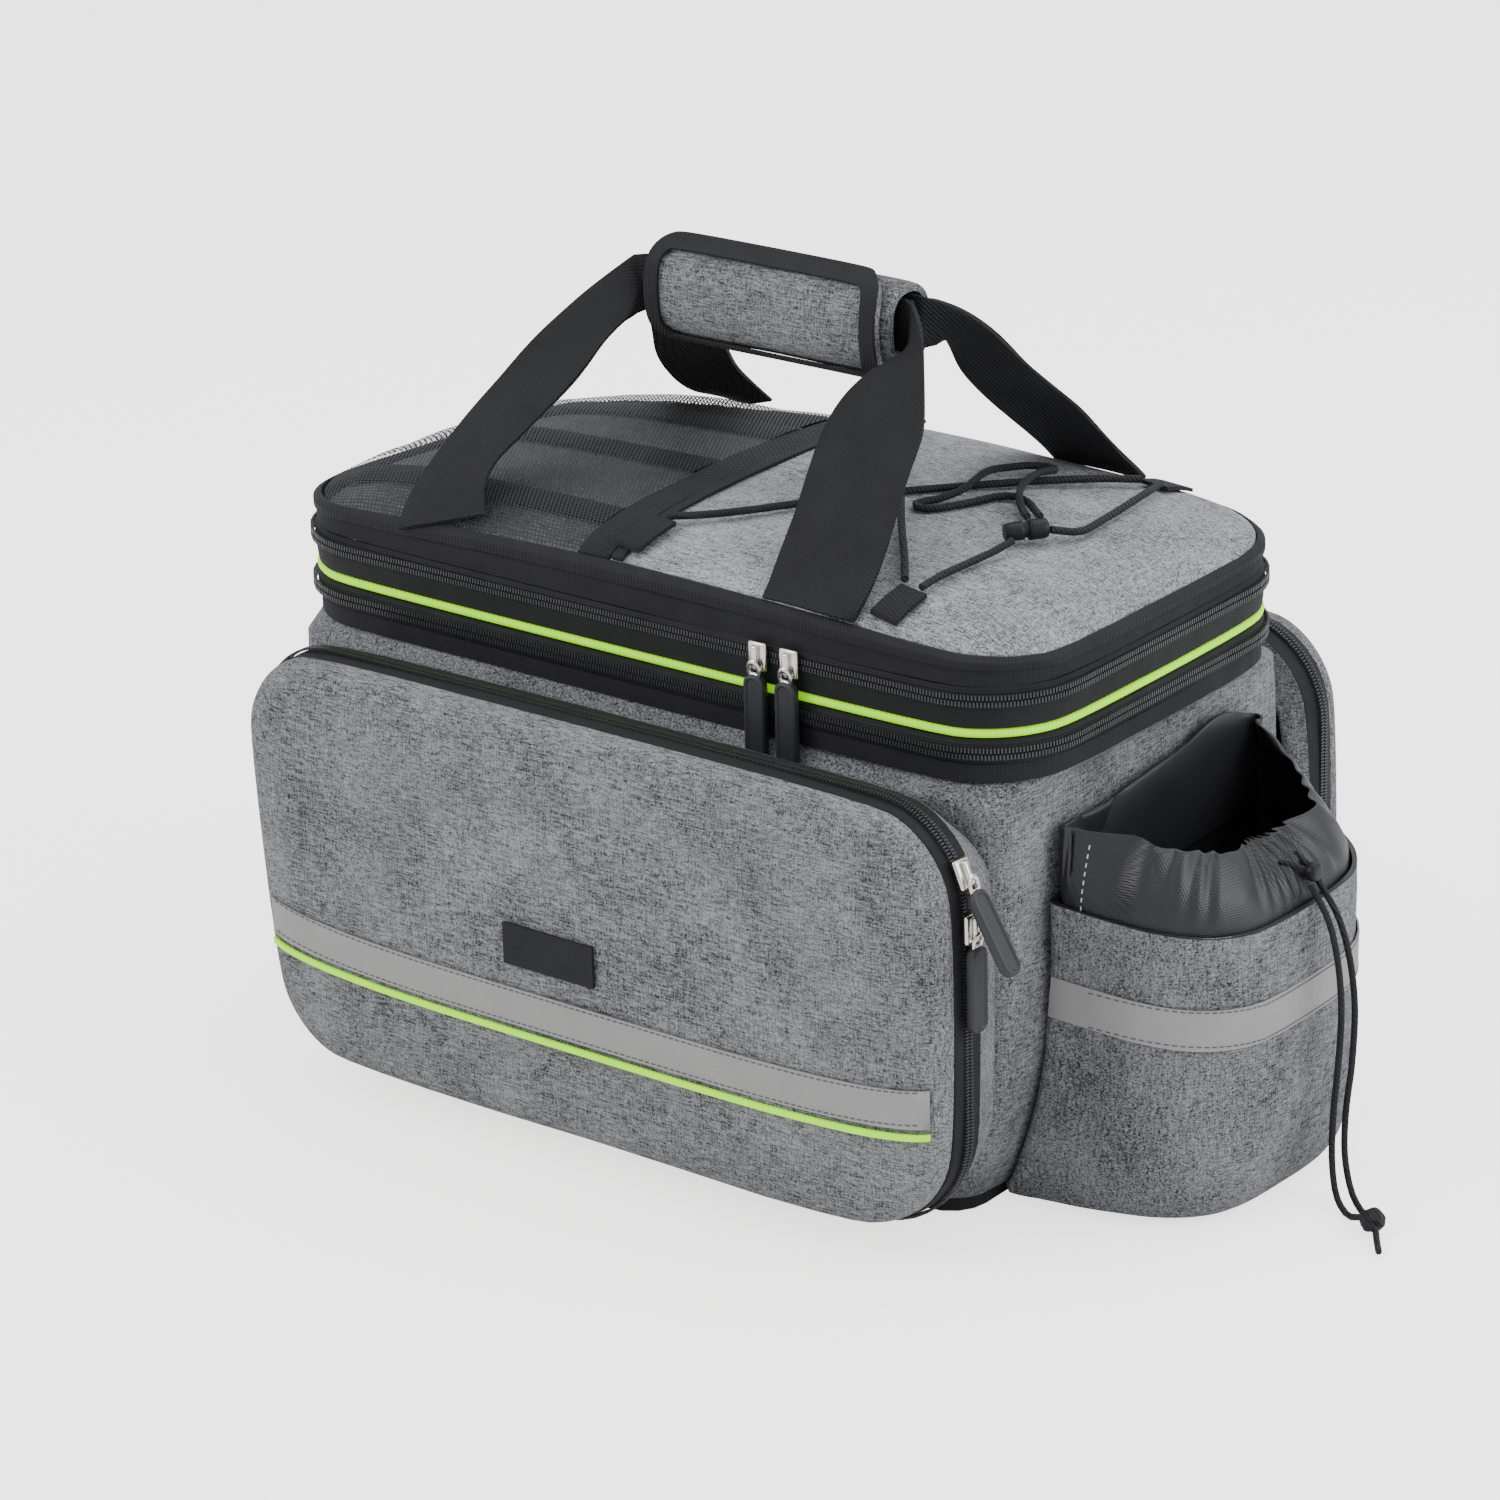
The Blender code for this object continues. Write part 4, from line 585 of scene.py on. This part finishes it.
def ruffle(mesh, rows, mask=None):
    """Move each point along its normal by a few noises: rows are (size, depth, stretch)."""
    mesh.normal_update()
    moves = []
    for vertex in mesh.verts:
        total = 0.0
        for size, depth, stretch in rows:
            spot = Vector(c / size * s for c, s in zip(vertex.co, stretch))
            total += depth * noise.noise(spot)
        if mask:
            total *= mask(vertex.co)
        moves.append(vertex.normal * total)
    for vertex, move in zip(mesh.verts, moves):
        vertex.co += move


def dressed(name, nodes, look, slot, levels, rows=(), mask=None, degrees=35, crease=1.0):
    """A soft piece made from its solid: merged, subdivided and ruffled."""
    mesh = cad_copy(*nodes)
    crease_hard_edges(mesh, degrees, crease)
    mesh = subdivided(mesh, levels)
    ruffle(mesh, rows, mask)
    made = new_piece(name, mesh, look, slot, *nodes)
    print(name, len(made.data.polygons), "faces")
    return made


ROUND = (1, 1, 1)
BOTTLE_MIDDLE = Vector((0.205, 0.0, 0.0))
COLLAR_FOLDS = 27
UP = Vector((0, 0, 1))

dressed("body_cloth", ["body_shell"], GRAY_END, "gray_cloth", 3,
        [(0.060, 0.0016, ROUND), (0.022, 0.0006, (1, 1, 0.45))])
for pocket in ("near_pocket", "far_pocket"):
    dressed(pocket + "_front", [pocket + "_shell"], GRAY_SIDE, "gray_cloth", 2,
            [(0.090, 0.0008, ROUND)])
    dressed(pocket + "_side", [pocket + "_gusset"], GRAY_SIDE, "gray_cloth", 2,
            [(0.030, 0.0010, ROUND)])
    dressed(pocket + "_tape", [pocket + "_zip"], TAPE, "black_cloth", 2, [(0.012, 0.0002, ROUND)])
    dressed(pocket + "_strip", [pocket + "_reflector"], REFLECTIVE, "reflective_tape", 1)
    dressed(pocket + "_piping", [pocket + "_trim"], LIME, "lime_piping", 1)
bottle = dressed("bottle_cloth", ["bottle_pocket"], GRAY_END, "gray_cloth", 2,
                 [(0.045, 0.0012, (1, 1, 0.6)), (0.016, 0.0004, ROUND)])
bottle.data.materials.append(NYLON)
for face in bottle.data.polygons:
    outwards = face.center - BOTTLE_MIDDLE
    if face.normal.x * outwards.x + face.normal.y * outwards.y < 0 or face.normal.z > 0.7:
        face.material_index = 1
dressed("bottle_tape", ["bottle_strip"], REFLECTIVE, "reflective_tape", 1)
dressed("lid_cloth", ["lid_panel"], GRAY_LID_PAINTED_LIGHT, "gray_cloth", 2, [(0.060, 0.0010, ROUND)])
mesh = cad_copy("mesh_cover")
mesh.normal_update()
hidden = [face for face in mesh.faces if face.normal.z < 0.2]
bmesh.ops.delete(mesh, geom=hidden, context="FACES")
mesh = subdivided(mesh, 3)
ruffle(mesh, [(0.045, 0.0022, ROUND), (0.018, 0.0007, ROUND)],
       lambda spot: clamp((LID_HALF_Y - abs(spot.y)) / 0.012))
new_piece("lid_net", mesh, NET, "net", "mesh_cover")
for node, look in (("lower_band", CLOTH), ("expansion_zip", TAPE), ("lid_zip", TAPE),
                   ("lid_band", CLOTH)):
    dressed(node + "_cloth", [node], look, "black_cloth", 2, [(0.030, 0.0004, ROUND)])
dressed("lid_edge", ["lid_binding"], BINDING, "black_webbing", 2, [(0.015, 0.0003, ROUND)])
dressed("piping_cord", ["green_piping"], LIME, "lime_piping", 2, degrees=80)
dressed("cross_ribbon", ["cross_band"], WEBBING, "black_webbing", 2, [(0.020, 0.0004, ROUND)])
dressed("cross_cord", ["cross_strip"], BINDING, "black_webbing", 2, [(0.020, 0.0004, ROUND)])
for side in ("near", "far"):
    dressed("strap_" + side, ["handle_strap_" + side], WEBBING, "black_webbing", 3,
            [(0.030, 0.0010, ROUND)])
    for place in ("front", "rear"):
        node = "bungee_tab_%s_%s" % (side, place)
        dressed("tab_%s_%s" % (side, place), [node], WEBBING, "black_webbing", 2)
sleeve = dressed("grip_sleeve", ["handle_grip"], GRAY_SIDE, "gray_cloth", 2,
                 [(0.020, 0.0006, ROUND)])
dressed("grip_front", ["grip_flap"], GRAY_SIDE, "gray_cloth", 2, [(0.020, 0.0004, ROUND)])
dressed("grip_edge", ["grip_binding"], BINDING, "black_webbing", 2)
dressed("knot", ["drawstring_knot"], CORD, "black_nylon", 2, [(0.003, 0.0012, ROUND)], degrees=180)
dressed("toggle", ["drawstring_lock"], PLASTIC, "lock_plastic", 2, degrees=60)
dressed("cord_lock", ["bungee_lock"], PLASTIC, "lock_plastic", 2, degrees=60)
dressed("patch", ["label_patch"], CLOTH, "black_cloth", 2)

# %% [markdown]
# Nylon cloth on a drawstring falls into narrow folds that grow towards the cord. A wave round
# the collar, whose depth grows with height and whose spacing wanders a little, gives them.

# %% Gathered collar
COLLAR_SEAM = 119 * MM
COLLAR_HEIGHT = 27 * MM
COLLAR_LEAN = 17 * MM
COLLAR_DROP = 5 * MM
FOLD_DEPTH = 2.4 * MM


def gathered(spot):
    """A point of the collar after the cord has drawn its rim in."""
    from_middle = Vector((spot.x - BOTTLE_MIDDLE.x, spot.y, 0))
    outwards = from_middle.normalized()
    around = math.atan2(spot.y, from_middle.x)
    climb = 10 * MM * clamp((245 * MM - spot.x) / (70 * MM))
    height = clamp((spot.z - COLLAR_SEAM - climb) / COLLAR_HEIGHT)
    free = clamp((spot.x - 184 * MM) / (14 * MM))
    facing = clamp(math.cos(around))
    wander = noise.noise(Vector((math.cos(around), math.sin(around), 0.3)) * 2.2)
    fold = math.sin(around * COLLAR_FOLDS + 7 * wander) * (0.3 + 0.7 * facing)
    lean = COLLAR_LEAN * math.cos(around / 2) ** 2 * height ** 2.2
    move = free * (FOLD_DEPTH * height * fold - lean)
    return spot + outwards * move - UP * COLLAR_DROP * facing * free * height ** 2


mesh = cad_copy("bottle_collar")
crease_hard_edges(mesh, 60, 0.6)
mesh = subdivided(mesh, 3)
for vertex in mesh.verts:
    vertex.co = gathered(vertex.co)
ruffle(mesh, [(0.014, 0.0009, (1, 1, 0.5)), (0.030, 0.0018, (1, 1, 0.6))],
       lambda spot: clamp((spot.z - 0.120) / 0.012))
new_piece("collar_cloth", mesh, NYLON, "black_nylon", "bottle_collar", sharp=70)
TOGGLE_LOW, TOGGLE_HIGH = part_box("drawstring_lock")
toggle_middle = (TOGGLE_LOW + TOGGLE_HIGH) / 2
for side in (-1, 1):
    start = toggle_middle + Vector((-0.5, side * 1.5, 0)) * MM
    stub = smooth_route([start, start + Vector((-6, side * 1.5, 2)) * MM,
                         start + Vector((-11, side * 4, 3)) * MM], DRAWSTRING_DIAMETER)
    cord_piece("drawstring_root_%s" % ("near" if side < 0 else "far"), stub,
               DRAWSTRING_DIAMETER, CORD)

# %% [markdown]
# A coil zip shows two rows of small shining bars across its middle. They are cubes placed at an
# equal spacing round each zip's outline, because at this size only their rhythm is seen.

# %% Zip teeth
TOOTH = Vector((0.70, 2.0, 0.9)) * MM
TOOTH_PITCH = 1.35 * MM
COIL_SPREAD = 2.6 * MM
COIL_FACE = 1.0 * MM
OUTLINE_STEPS = 10


def rounded_outline(corners):
    """Points and outward normals round a polygon, each corner (x, y, radius) an arc."""
    outline = []
    for index, (x, y, radius) in enumerate(corners):
        here = Vector((x, y))
        arriving = (here - Vector(corners[index - 1][:2])).normalized()
        leaving = (Vector(corners[(index + 1) % len(corners)][:2]) - here).normalized()
        turn = math.atan2(arriving.cross(leaving), arriving.dot(leaving))
        outward = Vector((arriving.y, -arriving.x))
        centre = here - arriving * radius * math.tan(turn / 2) - outward * radius
        start = math.atan2(outward.y, outward.x)
        for step in range(OUTLINE_STEPS + 1):
            angle = start + turn * step / OUTLINE_STEPS
            normal = Vector((math.cos(angle), math.sin(angle)))
            outline.append((centre + normal * radius, normal))
    return outline


def even_loop(outline, spacing):
    """Places at an equal spacing round a closed outline, each with its outward normal."""
    closed = outline + outline[:1]
    lengths = [(b[0] - a[0]).length for a, b in zip(closed, closed[1:])]
    count = round(sum(lengths) / spacing)
    places, index, walked = [], 0, 0.0
    for number in range(count):
        target = sum(lengths) * number / count
        while walked + lengths[index] < target:
            walked += lengths[index]
            index += 1
        share = (target - walked) / lengths[index]
        here, there = closed[index], closed[index + 1]
        places.append((here[0].lerp(there[0], share), here[1].lerp(there[1], share).normalized()))
    return places


def small_bars(name, places, size, look, slot):
    """Many small bars: places are (centre, along, across, out)."""
    mesh = bmesh.new()
    for centre, along, across, out in places:
        turn = Matrix((along, across, out)).transposed().to_4x4()
        bmesh.ops.create_cube(mesh, size=1, matrix=Matrix.Translation(centre) @ turn
                              @ Matrix.Diagonal((*size, 1)))
    made = new_piece(name, mesh, look, slot)
    print(name, len(places), "bars")
    return made


def zip_teeth(name, coil):
    """Two rows of teeth along a coil: coil is (centre, along, across, out)."""
    places = []
    for centre, along, across, out in coil:
        for row in (-0.5, 0.5):
            spot = centre + across * COIL_SPREAD * row + along * TOOTH_PITCH * row / 2
            places.append((spot, along, across, out))
    return small_bars(name, places, TOOTH, COIL, "black_cloth")


RIM_CORNER = 41 * MM
LID_COILS = {"lid_zip": 212.2 * MM, "expansion_zip": 191.6 * MM}
rim = rounded_outline([(x * (RIM_HALF_X + COIL_FACE), y * (RIM_HALF_Y + COIL_FACE), RIM_CORNER)
                       for x, y in ((-1, -1), (1, -1), (1, 1), (-1, 1))])
for name, level in LID_COILS.items():
    coil = []
    for point, normal in even_loop(rim, TOOTH_PITCH):
        out = Vector((normal.x, normal.y, 0))
        coil.append((settled((point.x, point.y, level)), UP.cross(out), UP, out))
    zip_teeth(name + "_teeth", coil)

POCKET_CORNERS = ((13, 0, 38), (339, 0, 43.7), (339, 169.5, 38), (0, 169.5, 34.2))
COIL_PLACE = 8.8 * MM
for pocket, side in (("near_pocket", -1), ("far_pocket", 1)):
    low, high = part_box(pocket + "_shell")
    start = Vector((high.x - 339 * MM, low.z))
    outline = rounded_outline([(start.x + x * MM, start.y + z * MM, radius * MM)
                               for x, z, radius in POCKET_CORNERS])
    tape_low, tape_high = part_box(pocket + "_zip")
    level = side * (min(abs(tape_low.y), abs(tape_high.y)) + COIL_PLACE)
    coil = []
    for point, normal in even_loop(outline, TOOTH_PITCH):
        out = Vector((normal.x, 0, normal.y))
        across = Vector((0, 1, 0))
        centre = Vector((point.x, level, point.y)) + out * COIL_FACE
        coil.append((centre, across.cross(out), across, out))
    zip_teeth(pocket + "_teeth", coil)

# %% [markdown]
# Each slider is cast metal: a body, a bridge over it, and a plate with a hole that carries the
# moulded pull. The solids give their places and directions: the longest direction of a slider
# lies along the zip, and the shortest one stands out of it.

# %% Sliders and pulls
def axes_of(node):
    """Middle of a small solid, its long direction and its thin direction, each either way round."""
    spots = [vertex.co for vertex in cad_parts[node].data.vertices]
    middle = sum(spots, Vector()) / len(spots)
    rows = np.array([spot - middle for spot in spots])
    values, vectors = np.linalg.eigh(rows.T @ rows)
    return middle, Vector(vectors[:, 2]), Vector(vectors[:, 0])


def ring_of(mesh, centre, down, face, radius, wire, long):
    """A flat ring of wire that lies along down: a circle of wire spun round the face."""
    turn = Matrix((down.cross(face), down, face)).transposed().to_4x4()
    made = bmesh.ops.create_circle(mesh, segments=8, radius=wire, matrix=Matrix.Translation(
        (radius, 0, 0)) @ Matrix.Rotation(math.pi / 2, 4, "X"))["verts"]
    edges = list({edge for vertex in made for edge in vertex.link_edges})
    before = set(mesh.verts) - set(made)
    bmesh.ops.spin(mesh, geom=made + edges, cent=(0, 0, 0), axis=(0, 0, 1), angle=math.tau,
                   steps=20, use_merge=True)
    ring = [vertex for vertex in mesh.verts if vertex not in before]
    bmesh.ops.transform(mesh, verts=ring, matrix=Matrix.Translation(centre) @ turn
                        @ Matrix.Diagonal((1, long, 0.7, 1)))


def bar_of(mesh, centre, down, face, size, round_off, corner=0.0, dish=0.0):
    """A bar with round edges: size is (across, along down, thick), corner rounds its ends."""
    turn = Matrix((down.cross(face), down, face)).transposed().to_4x4()
    bar = bmesh.new()
    bmesh.ops.create_cube(bar, size=1, matrix=Matrix.Diagonal((*size, 1)))
    if corner:
        upright = [edge for edge in bar.edges
                   if abs(edge.verts[0].co.z - edge.verts[1].co.z) > size.z / 2]
        bmesh.ops.bevel(bar, geom=upright, offset=corner, segments=5, profile=0.5,
                        affect="EDGES", material=-1)
    rims = [edge for edge in bar.edges if edge.calc_face_angle(0) > math.radians(60)]
    bmesh.ops.bevel(bar, geom=rims, offset=round_off, segments=3, profile=0.5,
                    affect="EDGES", material=-1)
    if dish:
        front = max(bar.faces, key=lambda f: f.normal.z * f.calc_area())
        bmesh.ops.inset_region(bar, faces=[front], thickness=0.5 * MM, depth=0)
        bmesh.ops.inset_region(bar, faces=[front], thickness=0.5 * MM, depth=-dish)
    bmesh.ops.transform(bar, verts=bar.verts, matrix=Matrix.Translation(centre) @ turn)
    data = bpy.data.meshes.new("bar")
    bar.to_mesh(data)
    bar.free()
    mesh.from_mesh(data)
    bpy.data.meshes.remove(data)


for node in sorted(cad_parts):
    if not node.endswith("_slider"):
        continue
    name = node[:-len("_slider")]
    middle, down, face = axes_of(node)
    pull_middle, pull_down, pull_face = axes_of(name + "_pull")
    if down.dot(pull_middle - middle) < 0:
        down = -down
    if pull_down.dot(pull_middle - middle) < 0:
        pull_down = -pull_down
    outwards = middle - Vector((0, 0, middle.z))
    face = face if face.dot(outwards) > 0 else -face
    pull_face = pull_face if pull_face.dot(outwards) > 0 else -pull_face
    mesh = bmesh.new()
    bar_of(mesh, middle - face * 0.9 * MM, down, face, Vector((8.4, 11.4, 2.2)) * MM, 1.0 * MM)
    bar_of(mesh, middle + face * 1.2 * MM, down, face, Vector((3.0, 9.4, 2.2)) * MM, 0.9 * MM)
    pull_top = pull_middle - pull_down * 16.5 * MM
    hook = middle + down * 2.0 * MM + face * 2.4 * MM
    reach = pull_top + pull_down * 2.0 * MM - hook
    plate = reach.normalized()
    plate_face = (pull_face - plate * pull_face.dot(plate)).normalized()
    ring_of(mesh, hook + reach * 0.42, plate, plate_face, 2.5 * MM, 0.9 * MM,
            max(1.0, reach.length / (5.4 * MM)))
    bar_of(mesh, pull_top + pull_down * 1.0 * MM, pull_down, pull_face,
           Vector((5.4, 4.0, 2.0)) * MM, 0.8 * MM)
    new_piece(name + "_cast", mesh, METAL, "slider_metal", node)
    mesh = bmesh.new()
    bar_of(mesh, pull_middle, pull_down, pull_face, Vector((9.4, 34.0, 4.0)) * MM, 1.1 * MM,
           corner=4.2 * MM, dish=0.5 * MM)
    new_piece(name + "_grip", mesh, RUBBER, "puller_rubber", name + "_pull")

# %% [markdown]
# Under the net lies a gray lining with three dark strips along the bag, raised in their middle.
# They are patches of the lid's own surface, let down by a few millimetres, so that they follow its
# dome.

# %% Ribs under the net
LINING_MARGIN = 5 * MM


def lid_patch(name, corner, far_corner, lift, rise, look, slot, cells=(28, 6)):
    """A strip that follows the lid, its middle raised: corners are (x, y)."""
    mesh = bmesh.new()
    bmesh.ops.create_grid(mesh, x_segments=cells[0], y_segments=cells[1], size=0.5)
    for vertex in mesh.verts:
        x = corner[0] + (far_corner[0] - corner[0]) * (vertex.co.x + 0.5)
        y = corner[1] + (far_corner[1] - corner[1]) * (vertex.co.y + 0.5)
        room = half_width(x) - LINING_MARGIN
        y = min(room, max(-room, y))
        crown = 1 - (2 * vertex.co.y) ** 2
        vertex.co = on_lid(x, y, lift + rise * crown)
    bmesh.ops.recalc_face_normals(mesh, faces=mesh.faces)
    bmesh.ops.solidify(mesh, geom=mesh.faces, thickness=0.6 * MM)
    return new_piece(name, mesh, look, slot)


RIB_PLACES = {"near": -0.062, "middle": 0.002, "far": 0.055}
RIB_HALF = 7 * MM
for name, y in RIB_PLACES.items():
    lid_patch("lid_rib_" + name, (-0.166, y - RIB_HALF), (-0.026, y + RIB_HALF), -0.0060, 0.0025,
              CLOTH, "black_cloth")
lid_patch("lid_lining", (-0.168, -0.090), (-0.026, 0.090), -0.0080, 0.0, GRAY_LINING, "gray_cloth",
          (36, 40))
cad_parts["lid_floor"].data.materials.clear()
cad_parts["lid_floor"].data.materials.append(GRAY_LID_PAINTED_LIGHT)
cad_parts["base_panel"].data.materials.clear()
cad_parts["base_panel"].data.materials.append(CLOTH)

# %% [markdown]
# Stitches are short bars of thread. Each line is walked at an equal spacing, and a ray from
# outside finds the surface under it, so that the thread lies on the finished cloth.

# %% Stitches
STITCH_SIZE = Vector((1.9, 0.45, 0.35)) * MM
STITCH_PITCH = 3.0 * MM


def surface_of(*names):
    """A search tree of some finished pieces."""
    mesh = bmesh.new()
    for name in names:
        mesh.from_mesh(bpy.data.objects[name].data)
    tree = BVHTree.FromBMesh(mesh)
    mesh.free()
    return tree


def stitch_line(name, line, inwards, surface, look, size=STITCH_SIZE):
    """Stitches along a line, laid on a surface that is met by going inwards."""
    spots = []
    for spot, direction in zip(line, inwards):
        hit, normal, _, _ = surface.ray_cast(spot - direction * 0.05, direction, 0.1)
        if hit:
            spots.append((hit, normal if normal.dot(direction) < 0 else -normal))
    places = []
    for (here, out), (there, _) in zip(spots[::2], spots[1::2]):
        along = (there - here)
        along = (along - out * along.dot(out)).normalized()
        places.append(((here + there) / 2, along, out.cross(along), out))
    if places:
        small_bars(name, places, size, look, "black_nylon")


for pocket, side in (("near_pocket", -1), ("far_pocket", 1)):
    surface = surface_of(pocket + "_strip", pocket + "_front")
    low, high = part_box(pocket + "_reflector")
    middle, half = (low.x + high.x) / 2, (high.x - low.x) / 2
    for edge, level in (("low", 1.3 * MM), ("high", 14.3 * MM)):
        count = round(2 * half / (STITCH_PITCH / 2))
        line = []
        for step in range(2, count - 1):
            share = 2 * step / count - 1
            line.append(Vector((middle + half * share, side * abs(high.y),
                                low.z + level + 7 * MM * abs(share) ** 5)))
        stitch_line(pocket + "_stitches_" + edge, line, [Vector((0, -side, 0))] * len(line),
                    surface, STITCH)

surface = surface_of("bottle_tape", "bottle_cloth")
for edge, level in (("low", 1.3 * MM), ("high", 15.2 * MM)):
    line, inwards = [], []
    for step in range(150):
        around = math.radians(-100 + 200 * step / 149)
        direction = Vector((-math.cos(around), -math.sin(around), 0))
        spot = BOTTLE_MIDDLE - direction * 0.05
        climb = 0.010 * clamp((0.245 - spot.x) / 0.070)
        line.append(Vector((spot.x, spot.y, 0.074 + level + climb)))
        inwards.append(direction)
    stitch_line("bottle_stitches_" + edge, line, inwards, surface, STITCH)

surface = surface_of("collar_cloth")
line = [Vector((0.1875, -0.10, 0.124 + 0.0016 * step)) for step in range(18)]
stitch_line("collar_stitches", line, [Vector((0, 1, 0))] * len(line), surface, WHITE_STITCH,
            Vector((1.6, 0.5, 0.35)) * MM)

# %% [markdown]
# Light is soft and comes from the left and above, as beside a large window. One wide pale floor
# is also the backdrop, so that the bag's edges stand out. It glows for the camera alone, which
# keeps it as pale as it should look without lighting the bag from below, and weakens the shadow.

# %% Stage and light
def stage_plane(name, centre, size, normal, look):
    """A large flat plane that isn't part of the bag."""
    mesh = bmesh.new()
    bmesh.ops.create_grid(mesh, x_segments=1, y_segments=1, size=size / 2)
    turn = Vector((0, 0, 1)).rotation_difference(Vector(normal)).to_matrix().to_4x4()
    bmesh.ops.transform(mesh, matrix=Matrix.Translation(Vector(centre)) @ turn, verts=mesh.verts)
    data = bpy.data.meshes.new(name)
    mesh.to_mesh(data)
    mesh.free()
    data.materials.append(look)
    made = bpy.data.objects.new(name, data)
    bpy.context.scene.collection.objects.link(made)
    return made


paper, tree, shader, _ = base_material("pale_paper", 0.95)
shader.inputs["Base Color"].default_value = (0.90, 0.89, 0.875, 1)
shader.inputs["Emission Color"].default_value = (1.0, 0.985, 0.965, 1)
seen = tree.nodes.new("ShaderNodeLightPath").outputs["Is Camera Ray"]
tree.links.new(math_node(tree, "MULTIPLY", seen, 1.9), shader.inputs["Emission Strength"])
floor = stage_plane("floor", (0, 0, -0.0005), 12, (0, 0, 1), paper)

world = bpy.data.worlds.new("room_light")
world.use_nodes = True
world.node_tree.nodes["Background"].inputs["Color"].default_value = (0.93, 0.95, 1.0, 1)
world.node_tree.nodes["Background"].inputs["Strength"].default_value = 0.98
bpy.context.scene.world = world


def area_light(name, place, aim, size, power, colour=(1, 1, 1)):
    """A soft rectangular light that looks at a point."""
    data = bpy.data.lights.new(name, "AREA")
    data.shape = "RECTANGLE"
    data.size, data.size_y = size
    data.energy = power
    data.color = colour
    made = bpy.data.objects.new(name, data)
    made.location = place
    made.rotation_euler = (Vector(aim) - Vector(place)).to_track_quat("-Z", "Y").to_euler()
    bpy.context.scene.collection.objects.link(made)
    return made


MIDDLE = (0.0, 0.0, 0.12)
area_light("window", (-0.9, -1.5, 1.5), MIDDLE, (1.2, 1.2), 26, (1.0, 0.985, 0.96))
area_light("fill", (1.7, 0.4, 1.0), MIDDLE, (1.2, 1.2), 20, (0.97, 0.985, 1.0))
area_light("top", (0.3, 0.6, 1.9), MIDDLE, (1.6, 1.6), 16)

# %% The drawstrings and the slack elastic cord, looked up again
for name in ("drawstring_near", "drawstring_far"):
    braid, route = strands[name]
braid, route = strands["bungee_slack"]
